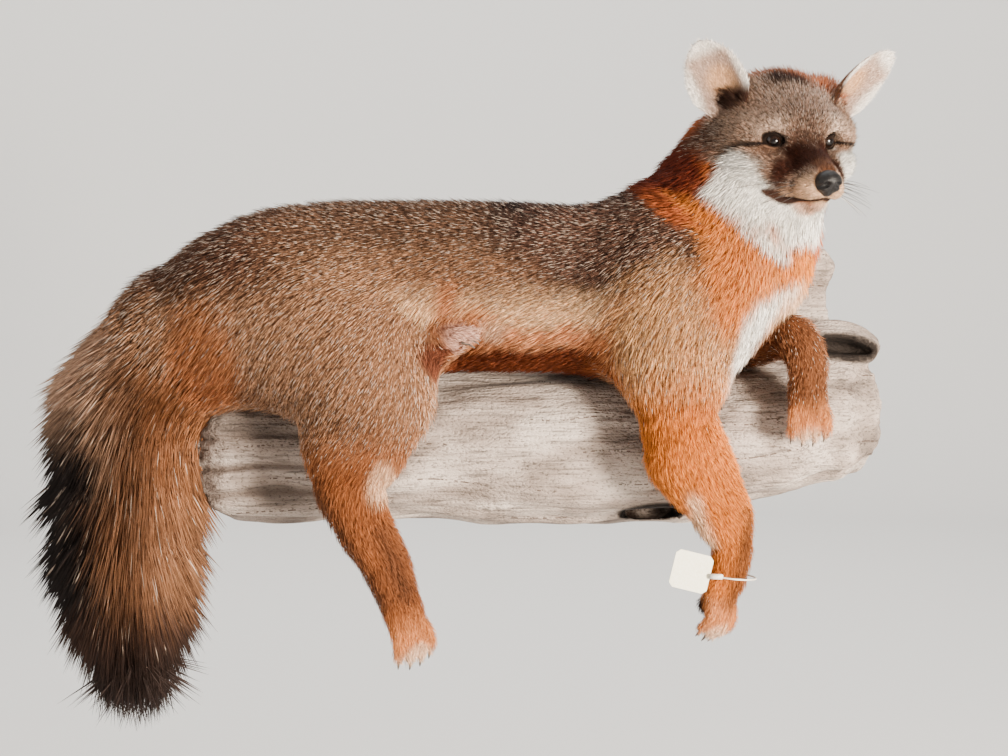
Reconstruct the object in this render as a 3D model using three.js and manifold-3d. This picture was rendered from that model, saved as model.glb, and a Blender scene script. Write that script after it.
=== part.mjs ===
// A mounted gray fox draped along a hollow driftwood log that hangs on a wall.
// Millimetres, +Z up, the wall is the plane Y = 0 and the mount stands out from it towards -Y.
// Every solid is the outline of the coat, out to the tips of the hair. Each body part is a field of
// blended, swept spheres, meshed on a grid whose cells suit that part, and parted by thin cuts.
import * as THREE from "three";
import Module from "manifold-3d";
import { mergeVertices } from "three/addons/utils/BufferGeometryUtils.js";

const wasm = await Module();
wasm.setup();

// ---------------------------------------------------------------- driving dimensions
const GAP = 0.35; // clearance between neighbouring solids
const WALL_CLEARANCE = 1.5; // nothing but the log's flat back reaches the wall

const SPINE_Y = -80; // the trunk's middle, out from the wall
const FLESH_BLEND = 28; // how widely the trunk and the legs run into each other
const EYE_RADIUS = 8.6;
const EYE_SPREAD = 21; // from the middle of the face to an eye's centre
const EYE_TURN = 0.45; // how far an eye looks out to the side
const NOSE_REACH = 57; // from between the eyes forward to the nose pad
const EAR_LENGTH = 59;
const EAR_WIDTH = 53;
const EAR_THICKNESS = 4;
const TOE_COUNT = 4;
const CLAW_LENGTH = 15; // from its root inside the toe
const CLAW_RADIUS = 1.7;

const LOG_LEFT = -268;
const LOG_RIGHT = 281;
const LOG_DEPTH = 104;

const TAG_SIDE = 29; // a square card
const TAG_THICKNESS = 0.8;

const COLOURS = {
  grizzled: 0x7d6a5b,
  rust: 0xb5652a,
  white: 0xe9dfd2,
  tan: 0xa98763,
  black: 0x1c1a1a,
  eye: 0x1a0f0a,
  wood: 0xb9ada0,
  card: 0xf3f0cf,
};

// ---------------------------------------------------------------- fields of distance
const vector = (p) => new THREE.Vector3(p[0], p[1], p[2]);

// The union of two distances with a rounded fillet of about the given size.
function blend(a, b, size) {
  const near = Math.max(size - Math.abs(a - b), 0) / size;
  return Math.min(a, b) - (near * near * size) / 4;
}

const blendAll = (fields, size) => (p) => fields.reduce((d, field) => blend(d, field(p), size), 1e3);

// A sphere swept along a smooth curve through joints [x, y, z, radius].
function limb(joints, stepsEach = 6) {
  const path = new THREE.CatmullRomCurve3(joints.map(vector), false, "centripetal");
  const steps = stepsEach * (joints.length - 1);
  const beads = [];
  for (let i = 0; i <= steps; i++) {
    const along = (i / steps) * (joints.length - 1);
    const joint = Math.min(Math.floor(along), joints.length - 2);
    const share = THREE.MathUtils.smoothstep(along - joint, 0, 1);
    const radius = THREE.MathUtils.lerp(joints[joint][3], joints[joint + 1][3], share);
    beads.push({ at: path.getPoint(i / steps), radius });
  }
  const links = beads.slice(1).map((bead, i) => {
    const along = bead.at.clone().sub(beads[i].at);
    return { from: beads[i].at, along, size2: along.lengthSq(), r0: beads[i].radius, r1: bead.radius };
  });
  return ({ x, y, z }) => {
    let least = 1e3;
    for (const { from, along, size2, r0, r1 } of links) {
      const dx = x - from.x;
      const dy = y - from.y;
      const dz = z - from.z;
      const t = Math.min(1, Math.max(0, (dx * along.x + dy * along.y + dz * along.z) / size2));
      const away = Math.hypot(dx - along.x * t, dy - along.y * t, dz - along.z * t);
      least = Math.min(least, away - (r0 + (r1 - r0) * t));
    }
    return least;
  };
}

// An ellipsoid with its radii along the axes.
function ball(centre, radii) {
  return ({ x, y, z }) => {
    const [u, v, w] = [x - centre[0], y - centre[1], z - centre[2]];
    const near = Math.hypot(u / radii[0], v / radii[1], w / radii[2]);
    const slope = Math.hypot(u / radii[0] ** 2, v / radii[1] ** 2, w / radii[2] ** 2);
    return slope > 0 ? (near * (near - 1)) / slope : -Math.min(...radii);
  };
}

// A field written in another frame, such as the head's own.
function within(frame, field) {
  const inverse = frame.clone().invert();
  const local = new THREE.Vector3();
  return (p) => field(local.copy(p).applyMatrix4(inverse));
}

// A field that is the same on both sides of its frame's XZ plane.
function mirrored(field) {
  const side = new THREE.Vector3();
  return (p) => field(side.set(p.x, Math.abs(p.y), p.z));
}

// ---------------------------------------------------------------- meshing and cutting
// Moves a point down a field's slope onto the surface where the field is zero.
const SETTLE_STEP = 0.5;
const SETTLE_ROUNDS = 2;

function settle(point, field) {
  const probe = new THREE.Vector3();
  const slope = new THREE.Vector3();
  for (let round = 0; round < SETTLE_ROUNDS; round++) {
    const here = field(point);
    for (let axis = 0; axis < 3; axis++) {
      probe.copy(point).setComponent(axis, point.getComponent(axis) + SETTLE_STEP);
      slope.setComponent(axis, (field(probe) - here) / SETTLE_STEP);
    }
    point.addScaledVector(slope, -here / Math.max(slope.lengthSq(), 0.25));
  }
  return point;
}

// A grid cell's corners, the edges between them and its faces as rings of four corners.
const CORNERS = Array.from({ length: 8 }, (_, n) => [n & 1, (n >> 1) & 1, (n >> 2) & 1]);
const EDGES = CORNERS.flatMap((_, a) => [1, 2, 4].filter((bit) => !(a & bit)).map((bit) => [a, a | bit]));
const FACES = [
  [1, 2],
  [2, 4],
  [4, 1],
].flatMap(([u, v]) => [0, 7 - u - v].map((base) => [base, base + u, base + u + v, base + v]));

// Whether corners that are inside (the bits of a mask) and those outside each hold together, so that
// one vertex is enough for the cell.
function holdsTogether(mask) {
  const inside = (corner) => (mask >> corner) & 1;
  const crossed = FACES.some(([a, b, c, d]) => inside(a) === inside(c) && inside(b) === inside(d) && inside(a) !== inside(b));
  const group = CORNERS.map((_, n) => n);
  for (let round = 0; round < 3; round++)
    for (const [a, b] of EDGES) if (inside(a) === inside(b)) group[a] = group[b] = Math.min(group[a], group[b]);
  return !crossed && new Set(group).size <= 2;
}
const SOUND = Array.from({ length: 256 }, (_, mask) => holdsTogether(mask));

// Fills the weakest outside corner of each cell that doesn't hold together, until all of them do.
function mend(value, strides, cells) {
  const offsets = CORNERS.map(([a, b, c]) => a * strides[0] + b * strides[1] + c * strides[2]);
  let filled = true;
  while (filled) {
    filled = false;
    for (const cell of cells) {
      const at = offsets.map((offset) => cell + offset);
      if (SOUND[at.reduce((mask, n, corner) => mask | ((value[n] < 0) << corner), 0)]) continue;
      const weakest = at.filter((n) => value[n] >= 0).reduce((a, b) => (value[b] < value[a] ? b : a));
      value[weakest] = -1e-3;
      filled = true;
    }
  }
}

// The closed surface where a field is zero, with one vertex in each grid cell that it crosses.
function surfaceOf(field, low, high, cell) {
  const count = low.map((v, i) => Math.ceil((high[i] - v) / cell[i]) + 1);
  const [nx, ny, nz] = count;
  const index = (i, j, k) => i + nx * (j + ny * k);
  const value = new Float64Array(nx * ny * nz);
  const p = new THREE.Vector3();
  for (let k = 0; k < nz; k++)
    for (let j = 0; j < ny; j++)
      for (let i = 0; i < nx; i++) {
        p.set(low[0] + i * cell[0], low[1] + j * cell[1], low[2] + k * cell[2]);
        const edge = i === 0 || j === 0 || k === 0 || i === nx - 1 || j === ny - 1 || k === nz - 1;
        value[index(i, j, k)] = edge ? Math.max(field(p), 0.5) : field(p);
      }

  const strides = [1, nx, nx * ny];
  const inner = [];
  for (let k = 1; k < nz - 2; k++)
    for (let j = 1; j < ny - 2; j++) for (let i = 1; i < nx - 2; i++) inner.push(index(i, j, k));
  mend(value, strides, inner);

  const vertexIn = new Map();
  const positions = [];
  for (let k = 0; k < nz - 1; k++)
    for (let j = 0; j < ny - 1; j++)
      for (let i = 0; i < nx - 1; i++) {
        const at = CORNERS.map(([a, b, c]) => value[index(i + a, j + b, k + c)]);
        const sum = [0, 0, 0];
        let crossings = 0;
        for (const [a, b] of EDGES) {
          if (at[a] < 0 === at[b] < 0) continue;
          const t = at[a] / (at[a] - at[b]);
          for (let axis = 0; axis < 3; axis++)
            sum[axis] += CORNERS[a][axis] + t * (CORNERS[b][axis] - CORNERS[a][axis]);
          crossings++;
        }
        if (!crossings) continue;
        vertexIn.set(index(i, j, k), positions.length / 3);
        p.fromArray([i, j, k].map((n, axis) => low[axis] + (n + sum[axis] / crossings) * cell[axis]));
        positions.push(...settle(p, field).toArray());
      }

  const faces = [];
  for (let k = 0; k < nz - 1; k++)
    for (let j = 0; j < ny - 1; j++)
      for (let i = 0; i < nx - 1; i++)
        for (let axis = 0; axis < 3; axis++) {
          const here = index(i, j, k);
          const inside = value[here] < 0;
          if (inside === value[here + strides[axis]] < 0) continue;
          const u = strides[(axis + 1) % 3];
          const v = strides[(axis + 2) % 3];
          const ring = [here, here - u, here - u - v, here - v].map((n) => vertexIn.get(n));
          if (!inside) ring.reverse();
          faces.push(ring[0], ring[1], ring[2], ring[0], ring[2], ring[3]);
        }
  return new THREE.BufferGeometry()
    .setAttribute("position", new THREE.Float32BufferAttribute(positions, 3))
    .setIndex(faces);
}

// A geometry as a solid for joining and cutting.
function solidOf(geometry) {
  const bare = geometry.clone();
  bare.deleteAttribute("normal");
  bare.deleteAttribute("uv");
  const merged = mergeVertices(bare, 1e-3);
  const solid = new wasm.Manifold(
    new wasm.Mesh({
      numProp: 3,
      vertProperties: merged.attributes.position.array,
      triVerts: new Uint32Array(merged.index.array),
    }),
  );
  return solid.volume() > 0 ? solid : turnedOut(merged);
}

function turnedOut(geometry) {
  const flipped = new Uint32Array(geometry.index.array);
  for (let i = 0; i < flipped.length; i += 3) [flipped[i], flipped[i + 1]] = [flipped[i + 1], flipped[i]];
  return new wasm.Manifold(
    new wasm.Mesh({ numProp: 3, vertProperties: geometry.attributes.position.array, triVerts: flipped }),
  );
}

// A solid as a geometry.
function geometryOf(solid) {
  const mesh = solid.getMesh();
  const positions = new Float32Array(mesh.numVert * 3);
  for (let i = 0; i < mesh.numVert; i++)
    positions.set(mesh.vertProperties.subarray(i * mesh.numProp, i * mesh.numProp + 3), i * 3);
  const geometry = new THREE.BufferGeometry()
    .setAttribute("position", new THREE.BufferAttribute(positions, 3))
    .setIndex(new THREE.BufferAttribute(mesh.triVerts, 1));
  geometry.computeVertexNormals();
  return geometry;
}

// The solid with every vertex moved out along its normal, which leaves a gap round what it cuts.
function grown(solid, by) {
  const geometry = geometryOf(solid);
  const { position, normal } = geometry.attributes;
  for (let i = 0; i < position.count; i++)
    position.setXYZ(
      i,
      position.getX(i) + by * normal.getX(i),
      position.getY(i) + by * normal.getY(i),
      position.getZ(i) + by * normal.getZ(i),
    );
  geometry.deleteAttribute("normal");
  return solidOf(geometry);
}

// The largest body of a solid, without the slivers that a cut may leave.
function largest(solid) {
  return solid.decompose().reduce((a, b) => (b.volume() > a.volume() ? b : a));
}

// Cuts a solid in a row of lengths at planes {at, facing}, each with a gap: the first length lies
// behind the first plane, and the last one in front of the last.
function lengths(solid, planes) {
  const pieces = [];
  let rest = solid;
  for (const { at, facing } of planes) {
    const normal = vector(facing).normalize();
    const offset = normal.dot(vector(at));
    const back = normal.clone().negate();
    pieces.push(largest(rest.trimByPlane(back.toArray(), -offset + GAP / 2)));
    rest = rest.trimByPlane(normal.toArray(), offset + GAP / 2);
  }
  pieces.push(largest(rest));
  return pieces;
}

// ---------------------------------------------------------------- the log
// The log runs along X with a flat back on the wall. Each section is half a rounded square whose
// middle, half height and depth change along the log, with lumps and long splits.
const LOG_SECTIONS = [
  // [x, middle z, half height, depth]
  [LOG_LEFT, -8, 48, 82],
  [-250, -6, 58, 94],
  [-120, -4, 61, 99],
  [0, -4, 63, 102],
  [110, -3, 64, LOG_DEPTH],
  [190, 12, 58, LOG_DEPTH],
  [240, 22, 56, 96],
  [268, 24, 48, 80],
  [LOG_RIGHT, 24, 36, 58],
];
const LOG_RINGS = 20;
const LOG_SIDES = 12;
const LOG_SQUARENESS = 2.6;

function logSection(x) {
  const next = Math.max(1, LOG_SECTIONS.findIndex((s) => s[0] >= x - 1e-6));
  const [from, to] = [LOG_SECTIONS[next - 1], LOG_SECTIONS[next]];
  const share = THREE.MathUtils.smoothstep(x, from[0], to[0]);
  return [1, 2, 3].map((n) => THREE.MathUtils.lerp(from[n], to[n], share));
}

function logLump(x, turn) {
  const knots = 2.6 * Math.sin(x / 31 + 2 * turn) + 1.8 * Math.sin(x / 17 - 3 * turn);
  const split = -5 * Math.exp(-(((turn - 2.3) / 0.12) ** 2)) * THREE.MathUtils.smoothstep(-x, -40, 160);
  return knots + split;
}

function logSolid() {
  const positions = [];
  for (let i = 0; i <= LOG_RINGS; i++) {
    const x = THREE.MathUtils.lerp(LOG_LEFT, LOG_RIGHT, i / LOG_RINGS);
    const [middle, half, depth] = logSection(x);
    for (let j = 0; j <= LOG_SIDES; j++) {
      const turn = (Math.PI * j) / LOG_SIDES;
      const onBack = j === 0 || j === LOG_SIDES;
      const up = Math.sign(Math.cos(turn)) * Math.abs(Math.cos(turn)) ** (2 / LOG_SQUARENESS);
      const out = onBack ? 0 : Math.abs(Math.sin(turn)) ** (2 / LOG_SQUARENESS);
      const lump = onBack ? 0 : logLump(x, turn) * Math.sin(turn);
      positions.push(x, -out * (depth + lump), middle + up * (half + lump));
    }
  }
  const faces = [];
  const ring = LOG_SIDES + 1;
  for (let i = 0; i < LOG_RINGS; i++)
    for (let j = 0; j < ring; j++) {
      const [a, b] = [i * ring + j, i * ring + ((j + 1) % ring)];
      faces.push(a, a + ring, b, b, a + ring, b + ring);
    }
  for (const [first, turned] of [[0, false], [LOG_RINGS * ring, true]])
    for (let j = 1; j < ring - 1; j++)
      faces.push(...(turned ? [first, first + j + 1, first + j] : [first, first + j, first + j + 1]));
  const body = solidOf(
    new THREE.BufferGeometry()
      .setAttribute("position", new THREE.Float32BufferAttribute(positions, 3))
      .setIndex(faces),
  );
  return body.subtract(logHollow()).subtract(logNotch());
}

// The hollow that opens at the top of the log's right end.
function logHollow() {
  const bowl = new THREE.SphereGeometry(1, 12, 8).scale(40, 26, 30).rotateX(0.5);
  return solidOf(bowl.translate(226, -52, 82));
}

// A broken gap in the log's lower front edge.
function logNotch() {
  const bite = new THREE.SphereGeometry(1, 10, 8).scale(24, 20, 13).rotateY(-0.3);
  return solidOf(bite.translate(98, -82, -66));
}

// The stump of a branch that stands at the back of the log, and the torn rim of the hollow beside it.
const STUB_OUTLINE = [
  // [x, z]
  [150, 44],
  [276, 44],
  [280, 84],
  [264, 98],
  [247, 104],
  [247, 150],
  [242, 165],
  [222, 160],
  [196, 112],
  [158, 92],
];
const STUB_DEPTH = 27;
const STUB_EDGE = 4;

function stubSolid() {
  const outline = new THREE.Shape(STUB_OUTLINE.map(([x, z]) => new THREE.Vector2(x, z)));
  const edges = { bevelSize: STUB_EDGE, bevelThickness: STUB_EDGE, bevelOffset: -STUB_EDGE, bevelSegments: 1 };
  const slab = new THREE.ExtrudeGeometry(outline, { depth: STUB_DEPTH, steps: 1, ...edges });
  return solidOf(slab.rotateX(Math.PI / 2)).trimByPlane([0, -1, 0], 0);
}

// ---------------------------------------------------------------- the trunk, neck and tail
const trunkField = limb([
  // [x, y, z, radius]
  [-282, SPINE_Y, 97, 49],
  [-234, SPINE_Y, 117, 56],
  [-186, SPINE_Y, 131, 62],
  [-88, SPINE_Y, 136, 60],
  [10, SPINE_Y, 134, 59],
  [98, SPINE_Y, 126, 67],
]);

const neckField = limb([
  [104, SPINE_Y, 128, 66],
  [143, SPINE_Y - 6, 136, 64],
  [163, SPINE_Y - 4, 172, 60],
  [176, SPINE_Y + 15, 222, 49],
]);

const tailField = limb([
  [-292, SPINE_Y, 88, 48],
  [-317, SPINE_Y - 3, 42, 64],
  [-325, SPINE_Y - 3, -10, 69],
  [-329, SPINE_Y, -48, 68],
  [-329, SPINE_Y, -100, 65],
  [-326, SPINE_Y, -148, 50],
  [-317, SPINE_Y, -186, 28],
  [-309, SPINE_Y, -208, 8],
]);

// ---------------------------------------------------------------- the head
// The head's own frame stands between the eyes: X forward to the nose, Y to its left, Z to its crown.
const BETWEEN_EYES = [199.5, -118, 239.5];
const HEAD_TURN = THREE.MathUtils.degToRad(12); // to the fox's left of straight out from the wall
const HEAD_DIP = THREE.MathUtils.degToRad(24);

function headFrame() {
  const forward = new THREE.Vector3(
    Math.sin(HEAD_TURN) * Math.cos(HEAD_DIP),
    -Math.cos(HEAD_TURN) * Math.cos(HEAD_DIP),
    -Math.sin(HEAD_DIP),
  );
  const left = new THREE.Vector3(Math.cos(HEAD_TURN), Math.sin(HEAD_TURN), 0);
  const up = forward.clone().cross(left);
  return new THREE.Matrix4().makeBasis(forward, left, up).setPosition(...BETWEEN_EYES);
}

const HEAD = headFrame();
const inHead = (p) => vector(p).applyMatrix4(HEAD).toArray();

const faceField = mirrored(
  blendAll(
    [
      ball([-40, 0, 4], [46, 46, 42]), // cranium
      ball([-12, 0, 4], [28, 34, 24]), // forehead
      ball([-30, 34, -20], [30, 24, 28]), // cheek
      ball([-44, 40, -30], [26, 22, 28]), // ruff behind the cheek
      ball([-40, 40, 18], [20, 18, 20]), // root of the ear
      limb([
        [-6, 0, -10, 27],
        [22, 0, -18, 18],
        [46, 0, -24, 13],
      ]), // muzzle
      ball([38, 8, -29], [18, 10, 9]), // whisker pad
      limb([
        [-26, 12, -38, 20],
        [16, 6, -39, 11],
        [41, 0, -39, 7.5],
      ]), // lower jaw
    ],
    12,
  ),
);

const HEAD_CELL = 10.4;
const HEAD_BOX = [[116, -190, 150], [284, -26, 322]];
const headField = (p) => blend(within(HEAD, faceField)(p), neckField(p), 26);

const EYE_PLACES = { eye_right: [-3.5, -EYE_SPREAD, -1], eye_left: [-3.5, EYE_SPREAD, -1] };

function eyeSolid(place, radius) {
  return solidOf(new THREE.SphereGeometry(radius, 10, 7).translate(...inHead(place)));
}

// The opening between the lids, which widens outwards from the eye.
function lidOpening(place) {
  const funnel = new THREE.CylinderGeometry(5, 15, 14, 10).rotateZ(Math.PI / 2).translate(9, 0, 0);
  const outward = new THREE.Matrix4().makeRotationZ(Math.sign(place[1]) * EYE_TURN);
  const local = new THREE.Matrix4().makeTranslation(...place).multiply(outward);
  return solidOf(funnel.applyMatrix4(HEAD.clone().multiply(local)));
}

const noseField = mirrored(
  blendAll([ball([NOSE_REACH - 1, 0, -20], [8, 8.6, 9]), ball([NOSE_REACH - 4, 5, -21.5], [8, 4.8, 6.5])], 5),
);

// An ear is a leaf curled round its own axis, with an outer and an inner face that meet at the rim.
const EAR_ROWS = 7;
const EAR_COLUMNS = 6;
const EAR_CURL = 1.15; // half of the angle that the leaf's base wraps round

function earSolid(side) {
  const root = [-34, 48, 14];
  const toTip = new THREE.Vector3(-0.1, 0.5, 0.86).normalize();
  const facing = new THREE.Vector3(0.78, 0.62, -0.05);
  const across = new THREE.Vector3().crossVectors(toTip, facing).normalize();
  facing.crossVectors(across, toTip).normalize();
  const rows = [];
  for (const layer of [0, 1])
    for (let i = 0; i <= EAR_ROWS; i++) {
      const along = i / EAR_ROWS;
      const width = (EAR_WIDTH / 2) * Math.sqrt(Math.max(0, 1 - along ** 3.2)) * (0.82 + 0.18 * Math.sin(Math.PI * along));
      const curl = EAR_CURL * (1 - 0.62 * along);
      const row = [];
      for (let j = 0; j <= EAR_COLUMNS; j++) {
        const turn = curl * (2 * (j / EAR_COLUMNS) - 1);
        const rim = Math.min(1, (1 - Math.abs(turn / curl)) * 4, (1 - along) * 5);
        const radius = width / Math.sin(curl);
        const inset = layer * EAR_THICKNESS * (0.25 + 0.75 * rim);
        const outward = radius - inset;
        row.push(
          vector(root)
            .addScaledVector(toTip, along * EAR_LENGTH)
            .addScaledVector(across, outward * Math.sin(turn))
            .addScaledVector(facing, radius * Math.cos(curl) - outward * Math.cos(turn) + 6),
        );
      }
      rows.push(row);
    }
  const positions = rows.flat().flatMap((p) => inHead([p.x, side * p.y, p.z]));
  const faces = [];
  const wide = EAR_COLUMNS + 1;
  const layer = (EAR_ROWS + 1) * wide;
  const quad = (a, b, c, d) => faces.push(a, b, c, a, c, d);
  for (let i = 0; i < EAR_ROWS; i++)
    for (let j = 0; j < EAR_COLUMNS; j++) {
      const a = i * wide + j;
      quad(a, a + 1, a + 1 + wide, a + wide);
      quad(layer + a, layer + a + wide, layer + a + 1 + wide, layer + a + 1);
    }
  const rim = [];
  for (let j = 0; j < EAR_COLUMNS; j++) rim.push(j);
  for (let i = 0; i < EAR_ROWS; i++) rim.push(EAR_COLUMNS + i * wide);
  for (let j = EAR_COLUMNS; j > 0; j--) rim.push(EAR_ROWS * wide + j);
  for (let i = EAR_ROWS; i > 0; i--) rim.push(i * wide);
  rim.forEach((a, n) => {
    const b = rim[(n + 1) % rim.length];
    quad(b, a, a + layer, b + layer);
  });
  return solidOf(
    new THREE.BufferGeometry()
      .setAttribute("position", new THREE.Float32BufferAttribute(positions, 3))
      .setIndex(faces),
  );
}

// ---------------------------------------------------------------- the legs
// A paw in its own frame: X along the toes, Y across them, Z out of the back of the paw.
function pawFrame(at, toes, back) {
  const x = vector(toes).normalize();
  const y = vector(back).cross(x).normalize();
  return new THREE.Matrix4().makeBasis(x, y, x.clone().cross(y)).setPosition(...at);
}

function pawField(frame, length, width) {
  const parts = [ball([length * 0.34, 0, 0], [length * 0.5, width * 0.46, width * 0.38])];
  for (let n = 0; n < TOE_COUNT; n++) {
    const side = (n - (TOE_COUNT - 1) / 2) / TOE_COUNT;
    const reach = length * (0.98 - 0.55 * side * side);
    parts.push(
      limb(
        [
          [length * 0.42, side * width * 0.82, 1, width * 0.19],
          [reach * 0.82, side * width * 1.02, 2, width * 0.2],
          [reach, side * width * 1.06, -3, width * 0.13],
        ],
        3,
      ),
    );
  }
  return within(frame, blendAll(parts, 3));
}

function withClaws(solid, frame, length, width) {
  let clawed = solid;
  for (let n = 0; n < TOE_COUNT; n++) {
    const side = (n - (TOE_COUNT - 1) / 2) / TOE_COUNT;
    const reach = length * (0.98 - 0.55 * side * side);
    const claw = new THREE.CylinderGeometry(0.4, CLAW_RADIUS, CLAW_LENGTH, 5).rotateZ(-Math.PI / 2 - 0.35);
    clawed = clawed.add(
      solidOf(claw.translate(reach + 1, side * width * 1.06, -3.5).applyMatrix4(frame)),
    );
  }
  return clawed;
}

// Joints are [x, y, z, radius]. The upper joints blend into the trunk, and the region is what of the
// trunk counts as this leg. The lower joints run from inside the upper ones down to the paw, and are
// parted by planes {at, facing}; the first plane of a near leg also ends what belongs to the trunk.
const LEGS = {
  foreleg_right: {
    upper: [
      [108, -108, 116, 56],
      [103, -124, 66, 44],
      [103, -131, 30, 33],
      [110, -136, -6, 32],
    ],
    region: [
      [108, -152, 130, 66],
      [102, -150, 74, 62],
      [104, -134, 20, 56],
    ],
    lower: [
      [101, -126, 60, 40],
      [103, -131, 30, 33],
      [110, -136, -6, 33],
      [134, -136, -45, 25],
      [144, -131, -72, 18],
      [142, -128, -100, 16],
    ],
    cuts: [
      { at: [104, -132, 24], facing: [-0.1, 0, -1] },
      { at: [142, -130, -92], facing: [0, 0, -1] },
    ],
    pieces: ["forearm", "paw"],
    paw: { at: [138, -128, -98], toes: [-0.16, -0.12, -1], back: [0.75, -0.62, 0], length: 45, width: 36 },
  },
  hindleg_right: {
    upper: [
      [-222, -104, 106, 60],
      [-176, -112, 84, 63],
      [-141, -124, 50, 56],
      [-146, -131, 10, 40],
    ],
    region: [
      [-226, -160, 112, 88],
      [-166, -160, 90, 88],
      [-142, -140, 20, 72],
    ],
    lower: [
      [-141, -124, 50, 56],
      [-146, -131, 10, 40],
      [-149, -136, -22, 27],
      [-137, -132, -56, 23.5],
      [-121, -126, -86, 21],
      [-108, -122, -122, 18],
    ],
    cuts: [
      { at: [-146, -132, 16], facing: [-0.1, 0, -1] },
      { at: [-142, -134, -34], facing: [0.2, 0, -1] },
      { at: [-109, -122, -118], facing: [0.35, 0, -1] },
    ],
    pieces: ["shank", "foot", "paw"],
    paw: { at: [-109, -122, -116], toes: [0.3, -0.1, -1], back: [0.55, -0.8, 0], length: 48, width: 35 },
  },
  foreleg_left: {
    upper: [
      [104, -52, 112, 50],
      [132, -48, 96, 38],
    ],
    region: [
      [100, -14, 116, 56],
      [128, -16, 96, 44],
    ],
    lower: [
      [134, -50, 92, 33],
      [164, -66, 88, 26],
      [194, -104, 86, 19],
      [203, -124, 68, 17],
      [203, -127, 44, 16],
    ],
    cuts: [{ at: [203, -126, 52], facing: [0, 0, -1] }],
    pieces: ["forearm", "paw"],
    paw: { at: [203, -127, 50], toes: [0.04, -0.02, -1], back: [0.1, -1, 0], length: 44, width: 33 },
  },
  hindleg_left: {
    upper: [
      [-214, -52, 112, 52],
      [-158, -48, 92, 44],
    ],
    region: [
      [-216, -12, 112, 60],
      [-152, -12, 90, 50],
    ],
    lower: [
      [-130, -84, 80, 17],
      [-90, -124, 84, 13],
      [-72, -130, 85, 12],
    ],
    cuts: [],
    pieces: ["foot"],
    paw: { at: [-84, -127, 84], toes: [1, -0.2, 0.06], back: [0.1, -0.5, 1], length: 34, width: 24 },
  },
};
const LEG_CELL = [18, 18, 24];
const PAW_CELL = [9, 9, 9];
const REGION_CELL = [40, 40, 40];

// The smallest box round a chain of joints, with room for the blends.
function reachOf(joints) {
  const room = 12;
  const low = [0, 1, 2].map((axis) => Math.min(...joints.map((j) => j[axis] - j[3])) - room);
  const high = [0, 1, 2].map((axis) => Math.max(...joints.map((j) => j[axis] + j[3])) + room);
  return [low, high];
}

const limbSolid = (joints, cell = LEG_CELL) => solidOf(surfaceOf(limb(joints), ...reachOf(joints), cell));

// What lies beyond a near leg's first plane, as a box round that leg alone.
function beyond({ at, facing }) {
  const [width, length] = [130, 240];
  const box = new THREE.BoxGeometry(width, width, length).translate(0, 0, length / 2 - GAP / 2);
  const turn = new THREE.Quaternion().setFromUnitVectors(new THREE.Vector3(0, 0, 1), vector(facing).normalize());
  return solidOf(box.applyQuaternion(turn).translate(...at));
}

// The pieces of a leg below its upper joints, as [name, solid], trimmed by what they rest on.
function lowerPieces({ lower, cuts, pieces, paw }, trim, parted) {
  const frame = pawFrame(paw.at, paw.toes, paw.back);
  const shaft = lengths(trim(limbSolid(lower)), cuts).slice(parted ? 1 : 0, -1);
  const pawLimb = limb(lower);
  const toes = pawField(frame, paw.length, paw.width);
  const box = new THREE.Box3().expandByPoint(vector(paw.at));
  box.expandByPoint(new THREE.Vector3(paw.length, 0, 0).applyMatrix4(frame)).expandByScalar(paw.width);
  const whole = (p) => blend(pawLimb(p), toes(p), 6);
  const end = solidOf(surfaceOf(whole, box.min.toArray(), box.max.toArray(), PAW_CELL));
  const bare = lengths(trim(end), cuts.slice(-1)).at(-1);
  return [...shaft, withClaws(bare, frame, paw.length, paw.width)].map((solid, i) => [pieces[i], solid]);
}

// ---------------------------------------------------------------- the lot tag
// A small card on a plastic loop that is threaded round the right foreleg above the paw.
const TAG_CENTRE = [112, -143, -92];
const TAG_TILT = 0.24;
const LOOP_CENTRE = [143, -129, -97];
const LOOP_RADIUS = 20;
const LOOP_THICKNESS = 1.3;
const TAB_SIZE = [10, 1.6, 3.4];

function tagSolid() {
  const half = TAG_SIDE / 2;
  const clip = 3; // the cut corners
  const card = new THREE.Shape([
    new THREE.Vector2(-half + clip, -half),
    new THREE.Vector2(half - clip, -half),
    new THREE.Vector2(half, -half + clip),
    new THREE.Vector2(half, half - clip),
    new THREE.Vector2(half - clip, half),
    new THREE.Vector2(-half + clip, half),
    new THREE.Vector2(-half, half - clip),
    new THREE.Vector2(-half, -half + clip),
  ]);
  const geometry = new THREE.ExtrudeGeometry(card, { depth: TAG_THICKNESS, bevelEnabled: false });
  return geometry.rotateX(Math.PI / 2).rotateY(TAG_TILT).translate(...TAG_CENTRE);
}

function loopSolid() {
  const ring = new THREE.TorusGeometry(LOOP_RADIUS, LOOP_THICKNESS / 2, 4, 16).rotateY(0.1);
  const tab = new THREE.BoxGeometry(...TAB_SIZE).rotateZ(-0.2).translate(-13, -17.2, 1.5);
  return solidOf(ring).add(solidOf(tab)).translate(LOOP_CENTRE);
}

// ---------------------------------------------------------------- assembly
const fox = new THREE.Group();

function add(name, solidOrGeometry, colour, roughness = 0.85, metalness = 0) {
  const geometry = solidOrGeometry.isBufferGeometry ? solidOrGeometry : geometryOf(solidOrGeometry);
  const mesh = new THREE.Mesh(geometry, new THREE.MeshStandardMaterial({ color: colour, roughness, metalness }));
  mesh.name = name;
  fox.add(mesh);
}

const carve = (solid, cutters) => cutters.reduce((left, cutter) => left.subtract(cutter), solid);

function addWood() {
  const body = logSolid();
  const stub = largest(stubSolid().subtract(grown(body, GAP)));
  add("log", body, COLOURS.wood, 0.9);
  add("log_stub", stub, COLOURS.wood, 0.9);
  return [grown(body, GAP), grown(stub, GAP)];
}

const wood = addWood();
const clearOfWood = (solid) => carve(solid.trimByPlane([0, -1, 0], WALL_CLEARANCE), wood);

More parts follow.
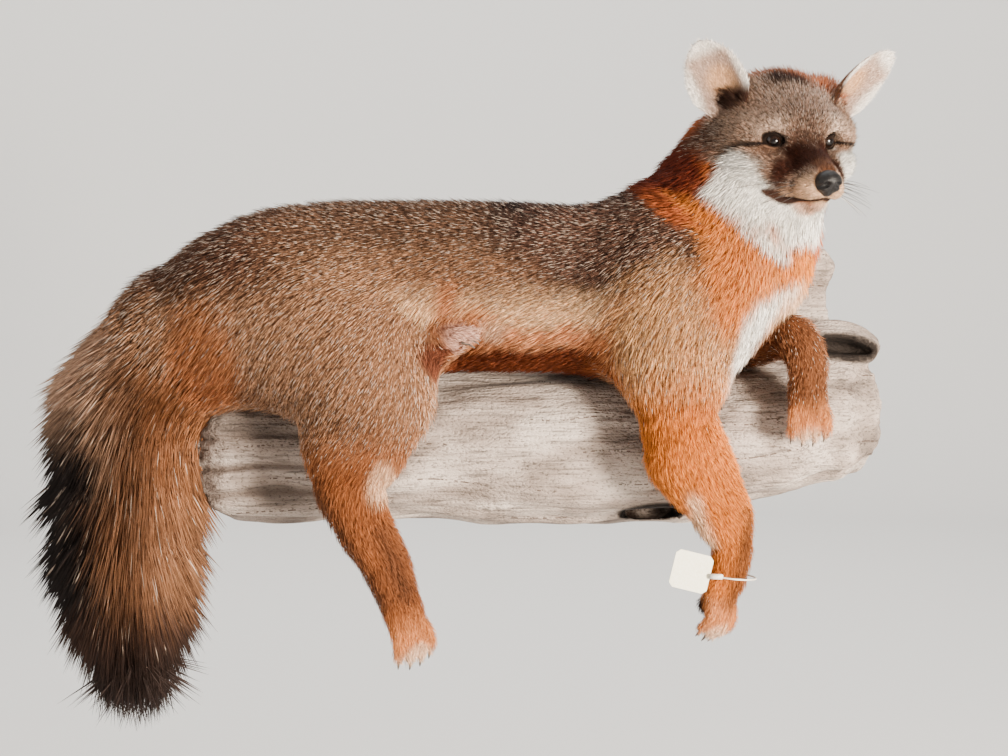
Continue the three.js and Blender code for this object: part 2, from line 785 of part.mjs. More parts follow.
// The trunk with the upper legs, tail and neck, in one skin before it is parted.
const BODY_CELL = [38, 24, 25];
const bodyField = blendAll(
  [trunkField, neckField, tailField, ...Object.values(LEGS).map((leg) => limb(leg.upper))],
  FLESH_BLEND,
);
const nearLegs = [LEGS.foreleg_right, LEGS.hindleg_right];
const body = carve(
  clearOfWood(solidOf(surfaceOf(bodyField, [-412, -196, -220], [236, 4, 236], BODY_CELL))),
  nearLegs.map((leg) => beyond(leg.cuts[0])),
);
const bodyGrown = grown(body, GAP);

function addLegs() {
  let trunk = body;
  let cutters = [bodyGrown, ...wood];
  for (const [leg, parts] of Object.entries(LEGS)) {
    const region = limbSolid(parts.region, REGION_CELL);
    const upperName = leg.startsWith("fore") ? "shoulder" : "thigh";
    add(`${leg}_${upperName}`, largest(trunk.intersect(region)), COLOURS.rust);
    trunk = trunk.subtract(grown(region, GAP));
    const parted = nearLegs.includes(parts);
    const trim = (solid) => carve(solid.trimByPlane([0, -1, 0], WALL_CLEARANCE), parted ? wood : cutters);
    for (const [name, solid] of lowerPieces(parts, trim, parted)) add(`${leg}_${name}`, largest(solid), COLOURS.rust);
    cutters = [...cutters, grown(limbSolid(parts.lower), 2 * GAP)];
  }
  return trunk;
}

const NECK_CUT = { at: [128, -80, 160], facing: [0.62, 0, 0.78] };
const HEAD_CUT = { at: [170, -85, 205], facing: [0.35, -0.25, 0.9] };
const CHEST_CUT = { at: [30, SPINE_Y, 130], facing: [1, 0, 0] };
const RUMP_CUT = { at: [-104, SPINE_Y, 130], facing: [1, 0, 0] };
const TAIL_CUTS = [
  { at: [0, 0, -125], facing: [0, 0, 1] },
  { at: [0, 0, -30], facing: [0, 0, 1] },
  { at: [-296, SPINE_Y, 62], facing: [0.5, 0, 1] },
];

function addTrunk(trunk) {
  const cuts = [...TAIL_CUTS, RUMP_CUT, CHEST_CUT, NECK_CUT, HEAD_CUT];
  const names = ["tail_tip", "tail_middle", "tail_base", "rump", "loin", "chest", "neck"];
  const colours = [COLOURS.black, COLOURS.tan, COLOURS.tan, COLOURS.grizzled];
  lengths(trunk, cuts).slice(0, -1).forEach((piece, i) => add(names[i], piece, colours[i] ?? COLOURS.grizzled));
}

function addHead() {
  const cells = [HEAD_CELL, HEAD_CELL, HEAD_CELL];
  const noseAt = inHead([NOSE_REACH, 0, -20]);
  const noseBox = [noseAt.map((v) => v - 20), noseAt.map((v) => v + 20)];
  const nose = solidOf(surfaceOf(within(HEAD, noseField), ...noseBox, [5, 5, 5]));
  let head = lengths(solidOf(surfaceOf(headField, ...HEAD_BOX, cells)), [HEAD_CUT])[1];
  head = head.subtract(grown(nose, GAP));
  for (const [name, place] of Object.entries(EYE_PLACES)) {
    head = carve(head, [eyeSolid(place, EYE_RADIUS + GAP), lidOpening(place)]);
    add(name, eyeSolid(place, EYE_RADIUS), COLOURS.eye, 0.1);
  }
  head = largest(head);
  const headGrown = grown(head, GAP);
  add("head", head, COLOURS.grizzled);
  add("nose", nose, COLOURS.black, 0.4);
  add("ear_right", largest(earSolid(-1).subtract(headGrown)), COLOURS.white);
  add("ear_left", largest(earSolid(1).subtract(headGrown)), COLOURS.white);
}

addTrunk(addLegs());
addHead();
add("tag", tagSolid(), COLOURS.card, 0.6);
add("tag_loop", loopSolid(), COLOURS.card, 0.4);

export default fox;
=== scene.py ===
# %% [markdown]
# # A gray fox, mounted on driftwood
#
# The object is a life-size taxidermy gray fox that hangs on a wall. The fox lies along a piece of
# driftwood with its legs and tail hanging, and turns its head to the viewer. A bare lot tag hangs
# from its right foreleg. The CAD frame gives every piece its place and size. This lesson gives the
# pieces their looks: one skin under a coat of mesh tufts, glass eyes, a nose, claws, whiskers and
# weathered wood. All lengths here are millimetres until a mesh is written, as in a workshop.

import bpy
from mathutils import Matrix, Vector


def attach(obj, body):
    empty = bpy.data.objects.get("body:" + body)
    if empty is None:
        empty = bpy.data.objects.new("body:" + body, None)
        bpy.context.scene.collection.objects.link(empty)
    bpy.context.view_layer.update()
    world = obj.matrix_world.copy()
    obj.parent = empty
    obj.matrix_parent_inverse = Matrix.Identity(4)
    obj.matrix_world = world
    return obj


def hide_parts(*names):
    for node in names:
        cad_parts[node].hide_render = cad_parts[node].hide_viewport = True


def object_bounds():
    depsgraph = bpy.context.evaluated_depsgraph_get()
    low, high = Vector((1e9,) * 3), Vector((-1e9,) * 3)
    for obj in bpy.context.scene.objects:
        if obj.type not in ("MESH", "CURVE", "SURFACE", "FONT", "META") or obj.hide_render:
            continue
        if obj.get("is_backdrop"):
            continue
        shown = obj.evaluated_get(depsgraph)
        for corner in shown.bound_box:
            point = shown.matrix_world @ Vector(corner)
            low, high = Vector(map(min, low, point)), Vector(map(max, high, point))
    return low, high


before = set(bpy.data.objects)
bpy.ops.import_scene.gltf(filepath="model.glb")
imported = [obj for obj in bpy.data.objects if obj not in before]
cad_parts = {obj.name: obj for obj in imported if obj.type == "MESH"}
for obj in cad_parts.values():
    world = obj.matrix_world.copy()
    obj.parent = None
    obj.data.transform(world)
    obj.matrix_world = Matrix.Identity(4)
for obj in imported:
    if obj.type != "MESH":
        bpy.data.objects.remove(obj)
cad_low, cad_high = [list(corner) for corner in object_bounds()]

import contextlib
import math

import bmesh
import bpy
import numpy as np
import openvdb
from mathutils import Vector, noise

MM = 0.001  # one millimetre in Blender's metres
BODY = "root"  # the model is still, so everything rides on one body

cad_size = [round(high - low, 3) for low, high in zip(cad_low, cad_high)]
print("frame:", len(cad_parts), "nodes,", cad_size, "m")

# %% [markdown]
# ## Writing node trees
#
# Finishes and Geometry Nodes are both trees of nodes. A few short helpers keep them readable: one
# adds a node and links what is handed to it, and one starts a finish with its shader. Values that
# are the same all over are set on the sockets themselves.

# %% Node helpers
class Nodes:
    """A short way to write a node tree."""

    def __init__(self, tree):
        self.tree = tree

    def add(self, kind, inputs=(), **settings):
        """A new node. Each input is a value, or another node's output to link."""
        node = self.tree.nodes.new(kind)
        for name, value in settings.items():
            setattr(node, name, value)
        for key, value in dict(inputs).items():
            socket = node.inputs[key] if isinstance(key, int) else in_use(node.inputs, key)
            if isinstance(value, bpy.types.NodeSocket):
                self.tree.links.new(value, socket)
            else:
                socket.default_value = value
        return node

    def math(self, operation, a, b=0.0, clamp=False):
        node = self.add("ShaderNodeMath", {0: a, 1: b}, operation=operation, use_clamp=clamp)
        return node.outputs[0]

    def times(self, a, b):
        return self.math("MULTIPLY", a, b)

    def mix(self, share, a, b, blend_type="MIX"):
        inputs = {"Factor": share, "A": a, "B": b}
        node = self.add("ShaderNodeMix", inputs, data_type="RGBA", blend_type=blend_type)
        return in_use(node.outputs)

    def read(self, name, output="Fac"):
        """An attribute of the mesh, in a finish."""
        return self.add("ShaderNodeAttribute", attribute_name=name).outputs[output]

    def ramp(self, share, stops):
        """A ramp with stops of (place, grey level) or (place, colour)."""
        node = self.add("ShaderNodeValToRGB", {"Fac": share})
        colours = node.color_ramp.elements
        while len(colours) < len(stops):
            colours.new(0.5)
        for element, (place, value) in zip(colours, stops):
            element.position = place
            element.color = (*value, 1) if np.ndim(value) else (value, value, value, 1)
        return node.outputs["Color"]


def in_use(sockets, name=None):
    """The first socket of that name that the node's settings leave in use."""
    return next(socket for socket in sockets if socket.enabled and name in (None, socket.name))


class Finish(Nodes):
    """A new material, and a short way to write what goes into its shader."""

    def __init__(self, name, roughness, specular):
        self.material = bpy.data.materials.new(name)
        self.material.use_nodes = True
        super().__init__(self.material.node_tree)
        self.shader = self.tree.nodes["Principled BSDF"]
        self.shader.inputs["Roughness"].default_value = roughness
        self.shader.inputs["Specular IOR Level"].default_value = specular

    def colour(self, socket):
        self.tree.links.new(socket, self.shader.inputs["Base Color"])

    def bump(self, height, strength, distance):
        inputs = {"Height": height, "Strength": strength, "Distance": distance}
        bump = self.add("ShaderNodeBump", inputs)
        self.tree.links.new(bump.outputs["Normal"], self.shader.inputs["Normal"])

    def noise(self, scale, detail, stretch=(1, 1, 1)):
        """Noise with that many features to a metre, along each axis."""
        place = self.add("ShaderNodeTexCoord").outputs["Object"]
        mapping = self.add("ShaderNodeMapping", {"Vector": place, "Scale": stretch})
        inputs = {"Vector": mapping.outputs["Vector"], "Scale": scale, "Detail": detail}
        return self.add("ShaderNodeTexNoise", inputs).outputs["Fac"]


def speckled(name, roughness, specular, scale, detail, stops, bump=None):
    """A material whose colour, and bump if it has one, follow the same fine noise."""
    finish = Finish(name, roughness, specular)
    grain = finish.noise(scale, detail)
    finish.colour(finish.ramp(grain, stops))
    if bump:
        finish.bump(grain, *bump)
    return finish.material


print("node helpers are ready")

# %% [markdown]
# ## The room
#
# A plain pale floor lies well below the mount. It bends up into a round wall far away, so that no
# horizon shows from any side. A warm lamp shines from the front right, a little below the fox's
# eyes, and models its form. Weak lamps at the left and above, and a pale sky, fill the shadows, and
# a large one lights the backdrop. A sun would be simpler, but its hard shadows would hide the coat.

# %% Room, light and camera
IMAGE_WIDTH, IMAGE_HEIGHT = 1008, 756
FLOOR_Z = -0.36
ROOM_RADIUS, ROOM_HEIGHT, ROOM_SIDES = 4.2, 3.6, 64
BEND_RADIUS, BEND_STEPS = 1.2, 8  # where the floor turns up into the wall
FLOOR_COLOUR = (0.78, 0.77, 0.75, 1)
SKY_COLOUR, SKY_STRENGTH = (0.83, 0.8, 0.77, 1), 0.45
CAMERA_PLACE = (-0.029, -1.150, 0.0536)
VIEW_ANGLE = 41.3  # degrees from side to side
OBJECT_MIDDLE = (-0.02, -0.08, 0.06)
LAMPS = {  # place, size, watts, colour and what it shines at
    "front lamp": ((1.1, -1.45, 0.0), 0.45, 138, (1.0, 0.89, 0.76), OBJECT_MIDDLE),
    "left lamp": ((-1.6, -1.1, 0.5), 1.2, 7, (1, 1, 1), OBJECT_MIDDLE),
    "top lamp": ((0.3, -0.5, 2.1), 1.4, 9, (1, 1, 1), OBJECT_MIDDLE),
    "backdrop lamp": ((0, 0.9, 3.0), 3.2, 150, (1, 1, 1), (0, 4.0, 0.2)),
}


def add_object(name, data):
    thing = bpy.data.objects.new(name, data)
    bpy.context.collection.objects.link(thing)
    return thing


def make_room():
    profile = [(0.01, 0), (ROOM_RADIUS - BEND_RADIUS, 0)]
    for step in range(1, BEND_STEPS + 1):
        turn = math.radians(90 * step / BEND_STEPS)
        out = ROOM_RADIUS - BEND_RADIUS + BEND_RADIUS * math.sin(turn)
        profile.append((out, BEND_RADIUS * (1 - math.cos(turn))))
    profile.append((ROOM_RADIUS, ROOM_HEIGHT))
    points = []
    for radius, height in profile:
        for side in range(ROOM_SIDES):
            turn = 2 * math.pi * side / ROOM_SIDES
            points.append((radius * math.cos(turn), radius * math.sin(turn), FLOOR_Z + height))
    faces = []
    for start in range(0, (len(profile) - 1) * ROOM_SIDES, ROOM_SIDES):
        for side in range(ROOM_SIDES):
            a, b = start + side, start + (side + 1) % ROOM_SIDES
            faces.append((a, b, b + ROOM_SIDES, a + ROOM_SIDES))
    faces.append(tuple(reversed(range(ROOM_SIDES))))
    mesh = bpy.data.meshes.new("floor")
    mesh.from_pydata(points, [], faces)
    mesh.shade_smooth()
    finish = Finish("pale floor", 0.9, 0.1)
    finish.shader.inputs["Base Color"].default_value = FLOOR_COLOUR
    mesh.materials.append(finish.material)
    room = add_object("floor", mesh)
    room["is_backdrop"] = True


def add_lamp(name, place, size, power, colour, aim):
    light = bpy.data.lights.new(name, "AREA")
    light.shape = "DISK"
    light.size = size
    light.energy = power
    light.color = colour
    lamp = add_object(name, light)
    lamp.location = place
    lamp.rotation_euler = (Vector(place) - Vector(aim)).to_track_quat("Z", "Y").to_euler()
    lamp.visible_camera = False


def make_camera():
    lens = bpy.data.cameras.new("camera")
    lens.sensor_width = 36
    lens.angle = math.radians(VIEW_ANGLE)
    lens.clip_start = 0.01
    camera = add_object("camera", lens)
    camera.location = CAMERA_PLACE
    camera.rotation_euler = (math.radians(90), 0, 0)
    bpy.context.scene.camera = camera


def make_sky():
    world = bpy.data.worlds.new("studio")
    world.use_nodes = True
    sky = world.node_tree.nodes["Background"]
    sky.inputs["Color"].default_value = SKY_COLOUR
    sky.inputs["Strength"].default_value = SKY_STRENGTH
    bpy.context.scene.world = world


make_room()
for name, settings in LAMPS.items():
    add_lamp(name, *settings)
make_sky()
make_camera()
print("room,", len(LAMPS), "lamps and a camera for", IMAGE_WIDTH, "by", IMAGE_HEIGHT)

# %% [markdown]
# ## Shapes as distances
#
# Flesh has no edges, so it is awkward to build from faces. It is easier to say, for any point in
# space, how far it is from the surface. Such a function is a distance field. A limb is a sphere
# that swells and shrinks as it slides along a curve, a skull is a few ellipsoids, and two fields
# melt into each other where the smaller distance is taken with a rounded corner. Sculpting by hand
# or metaballs would also do, but fields repeat the CAD frame's own measures exactly.

# %% Distance fields
FAR = 1e3


def blend(a, b, size):
    near = np.maximum(size - np.abs(a - b), 0) / size
    return np.minimum(a, b) - near * near * size / 4


def blend_all(fields, size):
    def field(p):
        least = np.full(len(p), FAR)
        for part in fields:
            least = blend(least, part(p), size)
        return least

    return field


def carve(a, b, size):
    """What is left of a when b is taken out of it, with a rounded edge."""
    return -blend(-a, b, size)


def catmull_rom(points, steps_each):
    """The centripetal curve through the points, with that many steps between each two."""
    ends = [2 * points[0] - points[1], *points, 2 * points[-1] - points[-2]]
    curve = []
    for p0, p1, p2, p3 in zip(ends, ends[1:], ends[2:], ends[3:]):
        knots = [0.0]
        for a, b in ((p0, p1), (p1, p2), (p2, p3)):
            knots.append(knots[-1] + max(np.linalg.norm(b - a), 1e-4) ** 0.5)
        for t in np.linspace(knots[1], knots[2], steps_each, endpoint=False):
            layer = [p0, p1, p2, p3]
            for start, reach in ((0, 1), (0, 2), (1, 1)):
                spans = zip(knots[start:], knots[start + reach :], layer, layer[1:])
                layer = [a + (b - a) * (t - low) / (high - low) for low, high, a, b in spans]
            curve.append(layer[0])
    return np.array([*curve, points[-1]])


class Limb:
    """A sphere swept along a smooth curve through joints (x, y, z, radius)."""

    MARGIN = 40  # how near a point must be for its exact distance to matter

    def __init__(self, joints, steps_each=5):
        joints = np.array(joints, float)
        self.at = catmull_rom(joints[:, :3], steps_each)
        place = np.linspace(0, len(joints) - 1, len(self.at))
        joint = np.minimum(place.astype(int), len(joints) - 2)
        share = place - joint
        share = share * share * (3 - 2 * share)
        self.radius = joints[joint, 3] * (1 - share) + joints[joint + 1, 3] * share
        self.low = (self.at - self.radius[:, None]).min(0)
        self.high = (self.at + self.radius[:, None]).max(0)

    def nearest(self, p):
        """For each point: distance to the surface, place along (0 to 1) and direction there."""
        best = np.full(len(p), FAR)
        along = np.zeros(len(p))
        which = np.zeros(len(p), int)
        for i, (a, b) in enumerate(zip(self.at, self.at[1:])):
            step = b - a
            t = np.clip((p - a) @ step / (step @ step), 0, 1)
            away = np.linalg.norm(p - a - t[:, None] * step, axis=1)
            away -= self.radius[i] + (self.radius[i + 1] - self.radius[i]) * t
            closer = away < best
            best[closer] = away[closer]
            along[closer] = i + t[closer]
            which[closer] = i
        steps = self.at[1:] - self.at[:-1]
        steps /= np.linalg.norm(steps, axis=1)[:, None]
        return best, along / (len(self.at) - 1), steps[which]

    def __call__(self, p):
        """The distance alone, worked out only round the limb."""
        outside = np.maximum(np.maximum(self.low - p, p - self.high), 0)
        gap = np.linalg.norm(outside, axis=1)
        near = gap < self.MARGIN
        distance = gap + self.MARGIN
        if near.any():
            distance[near] = self.nearest(p[near])[0]
        return distance


def ball(centre, radii):
    centre, radii = np.array(centre, float), np.array(radii, float)

    def field(p):
        q = (p - centre) / radii
        near = np.linalg.norm(q, axis=1)
        slope = np.linalg.norm(q / radii, axis=1)
        return near * (near - 1) / np.maximum(slope, 1e-6)

    return field


def outline_distance(q, corners):
    """The distance to a closed outline in a plane, less than zero inside it."""
    near, inside = np.full(len(q), FAR), np.zeros(len(q), bool)
    corners = np.array(corners, float)
    for a, b in zip(corners, np.roll(corners, -1, 0)):
        side = b - a
        t = np.clip((q - a) @ side / (side @ side), 0, 1)
        near = np.minimum(near, np.linalg.norm(q - a - t[:, None] * side, axis=1))
        crosses = (a[1] > q[:, 1]) != (b[1] > q[:, 1])
        meets = a[0] + (q[:, 1] - a[1]) * side[0] / (side[1] if side[1] else 1e-9)
        inside ^= crosses & (q[:, 0] < meets)
    return np.where(inside, -near, near)


def slope_of(field, p, step=0.3):
    """The direction in which the distance grows, by three small steps."""
    here = field(p)
    moves = np.eye(3) * step
    rise = np.stack([field(p + move) - here for move in moves], 1) / step
    return here, rise / np.maximum(np.linalg.norm(rise, axis=1), 1e-6)[:, None]


SETTLE_SHARE = 0.9  # of the way to the surface in each round


def settle(p, field, rounds, most=4.0):
    """Moves points onto the surface where the field is zero."""
    for _ in range(rounds):
        here, out = slope_of(field, p)
        p = p - out * np.clip(here, -most, most)[:, None] * SETTLE_SHARE
    return p


print("fields: limb, ball, blend, carve and settle")

# %% [markdown]
# ## The fox's measures
#
# The trunk, neck, tail and legs are chains of joints, the same as in the frame. Each joint is
# (x, y, z, radius), with the radius out to the tips of the coat. X runs from tail to head, Y into
# the wall and Z up. The head has a frame of its own that stands between the eyes: X forward to the
# nose, Y to the fox's left and Z to the crown.

# %% Joints of the body
SPINE_Y = -80
TRUNK = [
    (-282, SPINE_Y, 97, 49),
    (-234, SPINE_Y, 117, 56),
    (-186, SPINE_Y, 131, 62),
    (-88, SPINE_Y, 136, 60),
    (10, SPINE_Y, 134, 59),
    (98, SPINE_Y, 126, 67),
]
NECK = [
    (104, SPINE_Y, 128, 66),
    (143, SPINE_Y - 6, 136, 64),
    (163, SPINE_Y - 4, 172, 60),
    (176, SPINE_Y + 15, 222, 49),
]
TAIL = [
    (-292, SPINE_Y, 88, 48),
    (-317, SPINE_Y - 3, 42, 64),
    (-325, SPINE_Y - 3, -10, 69),
    (-329, SPINE_Y, -48, 68),
    (-329, SPINE_Y, -100, 65),
    (-326, SPINE_Y, -148, 50),
    (-317, SPINE_Y, -186, 28),
    (-309, SPINE_Y, -208, 8),
]
TAIL_CORE = [40, 42, 30, 22, 16, 9]  # the tail's radius under its hair, which hangs past its end
LEGS = {
    "foreleg_right": {
        "upper": [
            (108, -108, 116, 56),
            (103, -124, 66, 44),
            (103, -131, 30, 33),
            (110, -136, -6, 32),
        ],
        "lower": [
            (110, -136, -6, 33),
            (134, -136, -45, 25),
            (144, -131, -72, 18),
            (142, -128, -100, 16),
        ],
        "paw": {
            "at": (138, -128, -98),
            "toes": (-0.16, -0.12, -1),
            "back": (0.75, -0.62, 0),
            "size": (45, 36),
        },
    },
    "hindleg_right": {
        "upper": [
            (-222, -104, 106, 60),
            (-176, -112, 84, 63),
            (-138, -124, 50, 59),
            (-141, -131, 10, 43),
        ],
        "lower": [
            (-141, -131, 10, 42),
            (-146, -136, -22, 29),
            (-137, -132, -56, 23.5),
            (-121, -126, -86, 21),
            (-108, -122, -122, 18),
        ],
        "paw": {
            "at": (-109, -122, -116),
            "toes": (0.3, -0.1, -1),
            "back": (0.55, -0.8, 0),
            "size": (48, 35),
        },
    },
    "foreleg_left": {
        "upper": [(104, -62, 112, 40), (132, -50, 96, 36)],
        "lower": [
            (134, -50, 92, 33),
            (164, -66, 88, 26),
            (194, -104, 86, 19),
            (203, -124, 68, 17),
            (203, -127, 44, 16),
        ],
        "paw": {
            "at": (203, -127, 50),
            "toes": (0.04, -0.02, -1),
            "back": (0.1, -1, 0),
            "size": (44, 33),
        },
    },
    "hindleg_left": {
        "upper": [(-214, -62, 112, 42), (-158, -52, 92, 40)],
        "lower": [
            (-158, -48, 92, 30),
            (-130, -84, 80, 17),
            (-100, -106, 84, 12),
            (-76, -121, 85, 11),
        ],
        "paw": {
            "at": (-84, -127, 84),
            "toes": (1, -0.2, 0.06),
            "back": (0.1, -0.5, 1),
            "size": (34, 24),
        },
    },
}
print("joints for", len(LEGS), "legs and", len(TAIL), "points along the tail")

# %% Frames of the head and the paws
BETWEEN_EYES = np.array([199.5, -118.0, 239.5])


def look_axes(turn, dip, roll):
    """The head's axes when it is turned to its left, dipped and leant, in degrees."""
    turn, dip, roll = (math.radians(angle) for angle in (turn, dip, roll))
    level = math.cos(dip)
    forward = np.array([math.sin(turn) * level, -math.cos(turn) * level, -math.sin(dip)])
    left = np.array([math.cos(turn), math.sin(turn), 0])
    left = left * math.cos(roll) + np.cross(forward, left) * math.sin(roll)
    return np.array([forward, left, np.cross(forward, left)])


HEAD_AXES = look_axes(15, 24, 2.5)
EAR_AXES = look_axes(12, 24, 0)  # the ears are turned on their own


def to_head(p):
    return (np.asarray(p, float) - BETWEEN_EYES) @ HEAD_AXES.T


def from_head(p):
    return BETWEEN_EYES + np.asarray(p, float) @ HEAD_AXES


def to_ears(p):
    return (np.asarray(p, float) - BETWEEN_EYES) @ EAR_AXES.T


def from_ears(p):
    return BETWEEN_EYES + np.asarray(p, float) @ EAR_AXES


def mirrored(q):
    """Points of the head's own frame, moved to its left side, as both sides are alike."""
    return np.stack([q[:, 0], np.abs(q[:, 1]), q[:, 2]], 1)


def paw_axes(paw):
    """The paw's own frame: X along the toes, Y across them, Z out of the back of the paw."""
    x = np.array(paw["toes"], float)
    x /= np.linalg.norm(x)
    y = np.cross(np.array(paw["back"], float), x)
    y /= np.linalg.norm(y)
    return np.array([x, y, np.cross(x, y)])


TOES = 4


def toe_joints(paw):
    """Each toe as a short limb in the paw's frame, from knuckle to tip."""
    length, width = paw["size"]
    for toe in range(TOES):
        side = (toe - (TOES - 1) / 2) / TOES
        reach = length * (0.98 - 0.55 * side * side)
        yield side, reach, [
            (length * 0.42, side * width * 0.82, 1, width * 0.19),
            (reach * 0.72, side * width * 1.0, 4, width * 0.175),
            (reach * 0.9, side * width * 1.05, 1, width * 0.17),
            (reach, side * width * 1.06, -4, width * 0.13),
        ]


print("head frame forward", HEAD_AXES[0].round(3), "and", len(LEGS), "legs")

# %% [markdown]
# ## The skin's shape
#
# The skin is what lies under the coat, so it is the frame's outline drawn in by the coat's depth:
# two millimetres on the toes, about six on the trunk and up to fifty on the tail. The head is
# worked most. Its skull, forehead and cheeks are ellipsoids, its muzzle and jaw are limbs, and the
# eye sockets and the line of the mouth are carved out of them.

# %% The body under its coat
COAT_DEPTH = {"trunk": 6, "neck": 6, "upper leg": 5.5, "lower leg": 3.5, "toes": 1.8}
LEAST_CORE = 0.4  # of a limb's radius that is always left inside its coat
FLESH_BLEND, TAIL_BLEND = 38, 20
PAW_BLEND, TOE_BLEND = 5, 2.2


def thinned(joints, depth):
    return [(x, y, z, max(radius - depth, LEAST_CORE * radius)) for x, y, z, radius in joints]


def paw_field(paw):
    axes, at = paw_axes(paw), np.array(paw["at"], float)
    length, width = paw["size"]
    skin = COAT_DEPTH["toes"]
    palm_radii = (length * 0.5 - skin, width * 0.46 - skin, width * 0.36 - skin)
    parts = [ball((length * 0.34, 0, 0), palm_radii)]
    parts += [Limb(thinned(joints, skin), 3) for _, _, joints in toe_joints(paw)]
    parts.append(ball((length * 0.5, 0, -width * 0.25), (length * 0.16, width * 0.26, width * 0.16)))
    local = blend_all(parts, TOE_BLEND)
    return lambda p: local((p - at) @ axes.T)


TRUNK_LIMB = Limb(thinned(TRUNK, COAT_DEPTH["trunk"]))
NECK_LIMB = Limb(thinned(NECK, COAT_DEPTH["neck"]))
TAIL_LIMB = Limb([(x, y, z, core) for (x, y, z, _), core in zip(TAIL, TAIL_CORE)])
UPPER_LIMBS = [Limb(thinned(leg["upper"], COAT_DEPTH["upper leg"])) for leg in LEGS.values()]
LOWER_LIMBS = [Limb(thinned(leg["lower"], COAT_DEPTH["lower leg"])) for leg in LEGS.values()]
PAW_FIELDS = [paw_field(leg["paw"]) for leg in LEGS.values()]
BELLY_LIMB = Limb([(-112, -78, 107, 39), (-40, -76, 105, 38), (40, -80, 106, 38)])
RUMP_LIMB = Limb([(-292, -84, 62, 36), (-250, -92, 66, 29), (-226, -98, 74, 26)])
NAPE_LIMB = Limb([(122, -78, 166, 44), (139, -74, 198, 39), (155, -66, 226, 31)])
TORSO_LIMBS = [TRUNK_LIMB, NECK_LIMB, BELLY_LIMB, RUMP_LIMB, NAPE_LIMB]
flesh_field = blend_all([*TORSO_LIMBS, *UPPER_LIMBS], FLESH_BLEND)


def torso_field(p):
    return blend(flesh_field(p), TAIL_LIMB(p), TAIL_BLEND)


NEAR_MARGIN = 12


def near_only(field, centre, reach):
    """The field, worked out only within reach of its centre."""

    def limited(p):
        gap = np.linalg.norm(p - centre, axis=1) - reach
        near = gap < NEAR_MARGIN
        distance = gap + NEAR_MARGIN
        if near.any():
            distance[near] = field(p[near])
        return distance

    return limited


def paws_field(p):
    least = np.full(len(p), FAR)
    for leg, lower, paw in zip(LEGS.values(), LOWER_LIMBS, PAW_FIELDS):
        length = leg["paw"]["size"][0]
        middle = np.array(leg["paw"]["at"]) + paw_axes(leg["paw"])[0] * length / 2
        end = near_only(paw, middle, length)
        least = np.minimum(least, blend(lower(p), end(p), PAW_BLEND))
    return least


print("fields of the flesh under its coat")

# %% The face
EYE_RADIUS = 8.6
EYE = np.array([-3.5, 21.0, -2.8])  # the left eye's centre; the right one is its mirror image
EYE_TURN = 0.45  # how far the eye looks out to the side
LID = 1.3  # how thick the lids are
LID_HALF_WIDTH = 7.8
LID_INSIDE = 1.2  # how far the opening between the lids is cut into the eye's ball
UPPER_LID, LOWER_LID = 5.4, 4.4  # how far the lids open above and below the corners
SOCKET_RADII, SOCKET_OUT = (10, 12, 8.5), 6
HEAD_BLEND, TO_PAWS_BLEND = 22, 6
MOUTH = [
    (54, 0, -33.5, 1.3),
    (49, 8, -35.5, 1.4),
    (42, 14, -38, 1.6),
    (34, 22, -39.5, 1.8),
    (28, 31, -38.5, 1.5),
    (25, 36, -35.5, 1.1),
]

face_parts = blend_all(
    [
        ball((-40, 0, 2), (40, 42, 35)),  # cranium
        ball((-12, 0, 3), (25, 32, 21)),  # forehead
        ball((-17, 35, -3), (19, 15, 17)),  # temple
        ball((-30, 32, -20), (24, 18, 22)),  # cheek
        ball((-44, 36, -30), (20, 17, 22)),  # ruff
        ball((-43, 34, 13), (16, 15, 19)),  # root of the ear
        Limb([(-6, 0, -14, 22), (10, 0, -18, 18), (26, 0, -21, 14.5), (46, 0, -24, 11)]),  # muzzle
        Limb([(10, 0, -8, 6), (28, 0, -12, 6.5), (48, 0, -16, 6)]),  # bridge of the nose
        ball((35, 9.5, -29), (17, 9.5, 9)),  # whisker pad
        ball((-3, 20, 10), (10, 12, 5)),  # brow
        ball((0, 29, -21), (18, 16, 13)),  # cheekbone under the eye
        ball((16, 19, -28), (16, 11, 11)),  # the muzzle's wide root
    ],
    10,
)
jaw_parts = blend_all(
    [
        Limb([(-26, 14, -36, 17), (4, 14, -39, 10), (24, 11, -40, 7)]),
        Limb([(-10, 0, -40, 14), (20, 0, -40.5, 8), (43, 0, -38.5, 5.2)]),
    ],
    8,
)
mouth_line = Limb(MOUTH, 4)
mouth_corner = ball((29, 31, -38), (2.6, 2.2, 1.6))
eye_out = np.array([math.cos(EYE_TURN), math.sin(EYE_TURN), 0])
eye_across = np.array([-math.sin(EYE_TURN), math.cos(EYE_TURN), 0])
eye_socket = ball(EYE + eye_out * SOCKET_OUT + (0, 0, 0.5), SOCKET_RADII)


def lid_gap(q):
    """Distance to the almond between the lids, seen along the eye's own direction."""
    across = (q - EYE) @ eye_across
    up = q[:, 2] - EYE[2]

    def arc(rise, sign):
        drop = (LID_HALF_WIDTH**2 - rise**2) / (2 * rise)
        return np.hypot(across, up + sign * drop) - (drop + rise)

    return np.maximum(arc(UPPER_LID, 1), arc(LOWER_LID, -1))


def skull_field(q):
    """The head in its own frame, both sides alike."""
    q = mirrored(q)
    head = blend(face_parts(q), jaw_parts(q), 5)
    head = carve(head, mouth_line(q), 1.2)
    head = carve(head, mouth_corner(q), 1.5)
    head = carve(head, eye_socket(q), 5)
    from_eye = np.linalg.norm(q - EYE, axis=1)
    lids = blend(head, from_eye - EYE_RADIUS - LID, 3.5)
    in_front = (q - EYE) @ eye_out
    window = np.maximum(lid_gap(q), EYE_RADIUS - LID_INSIDE - from_eye)
    window = np.maximum(window, -in_front)
    return carve(lids, window, 0.5)


def head_field(p):
    return skull_field(to_head(p))


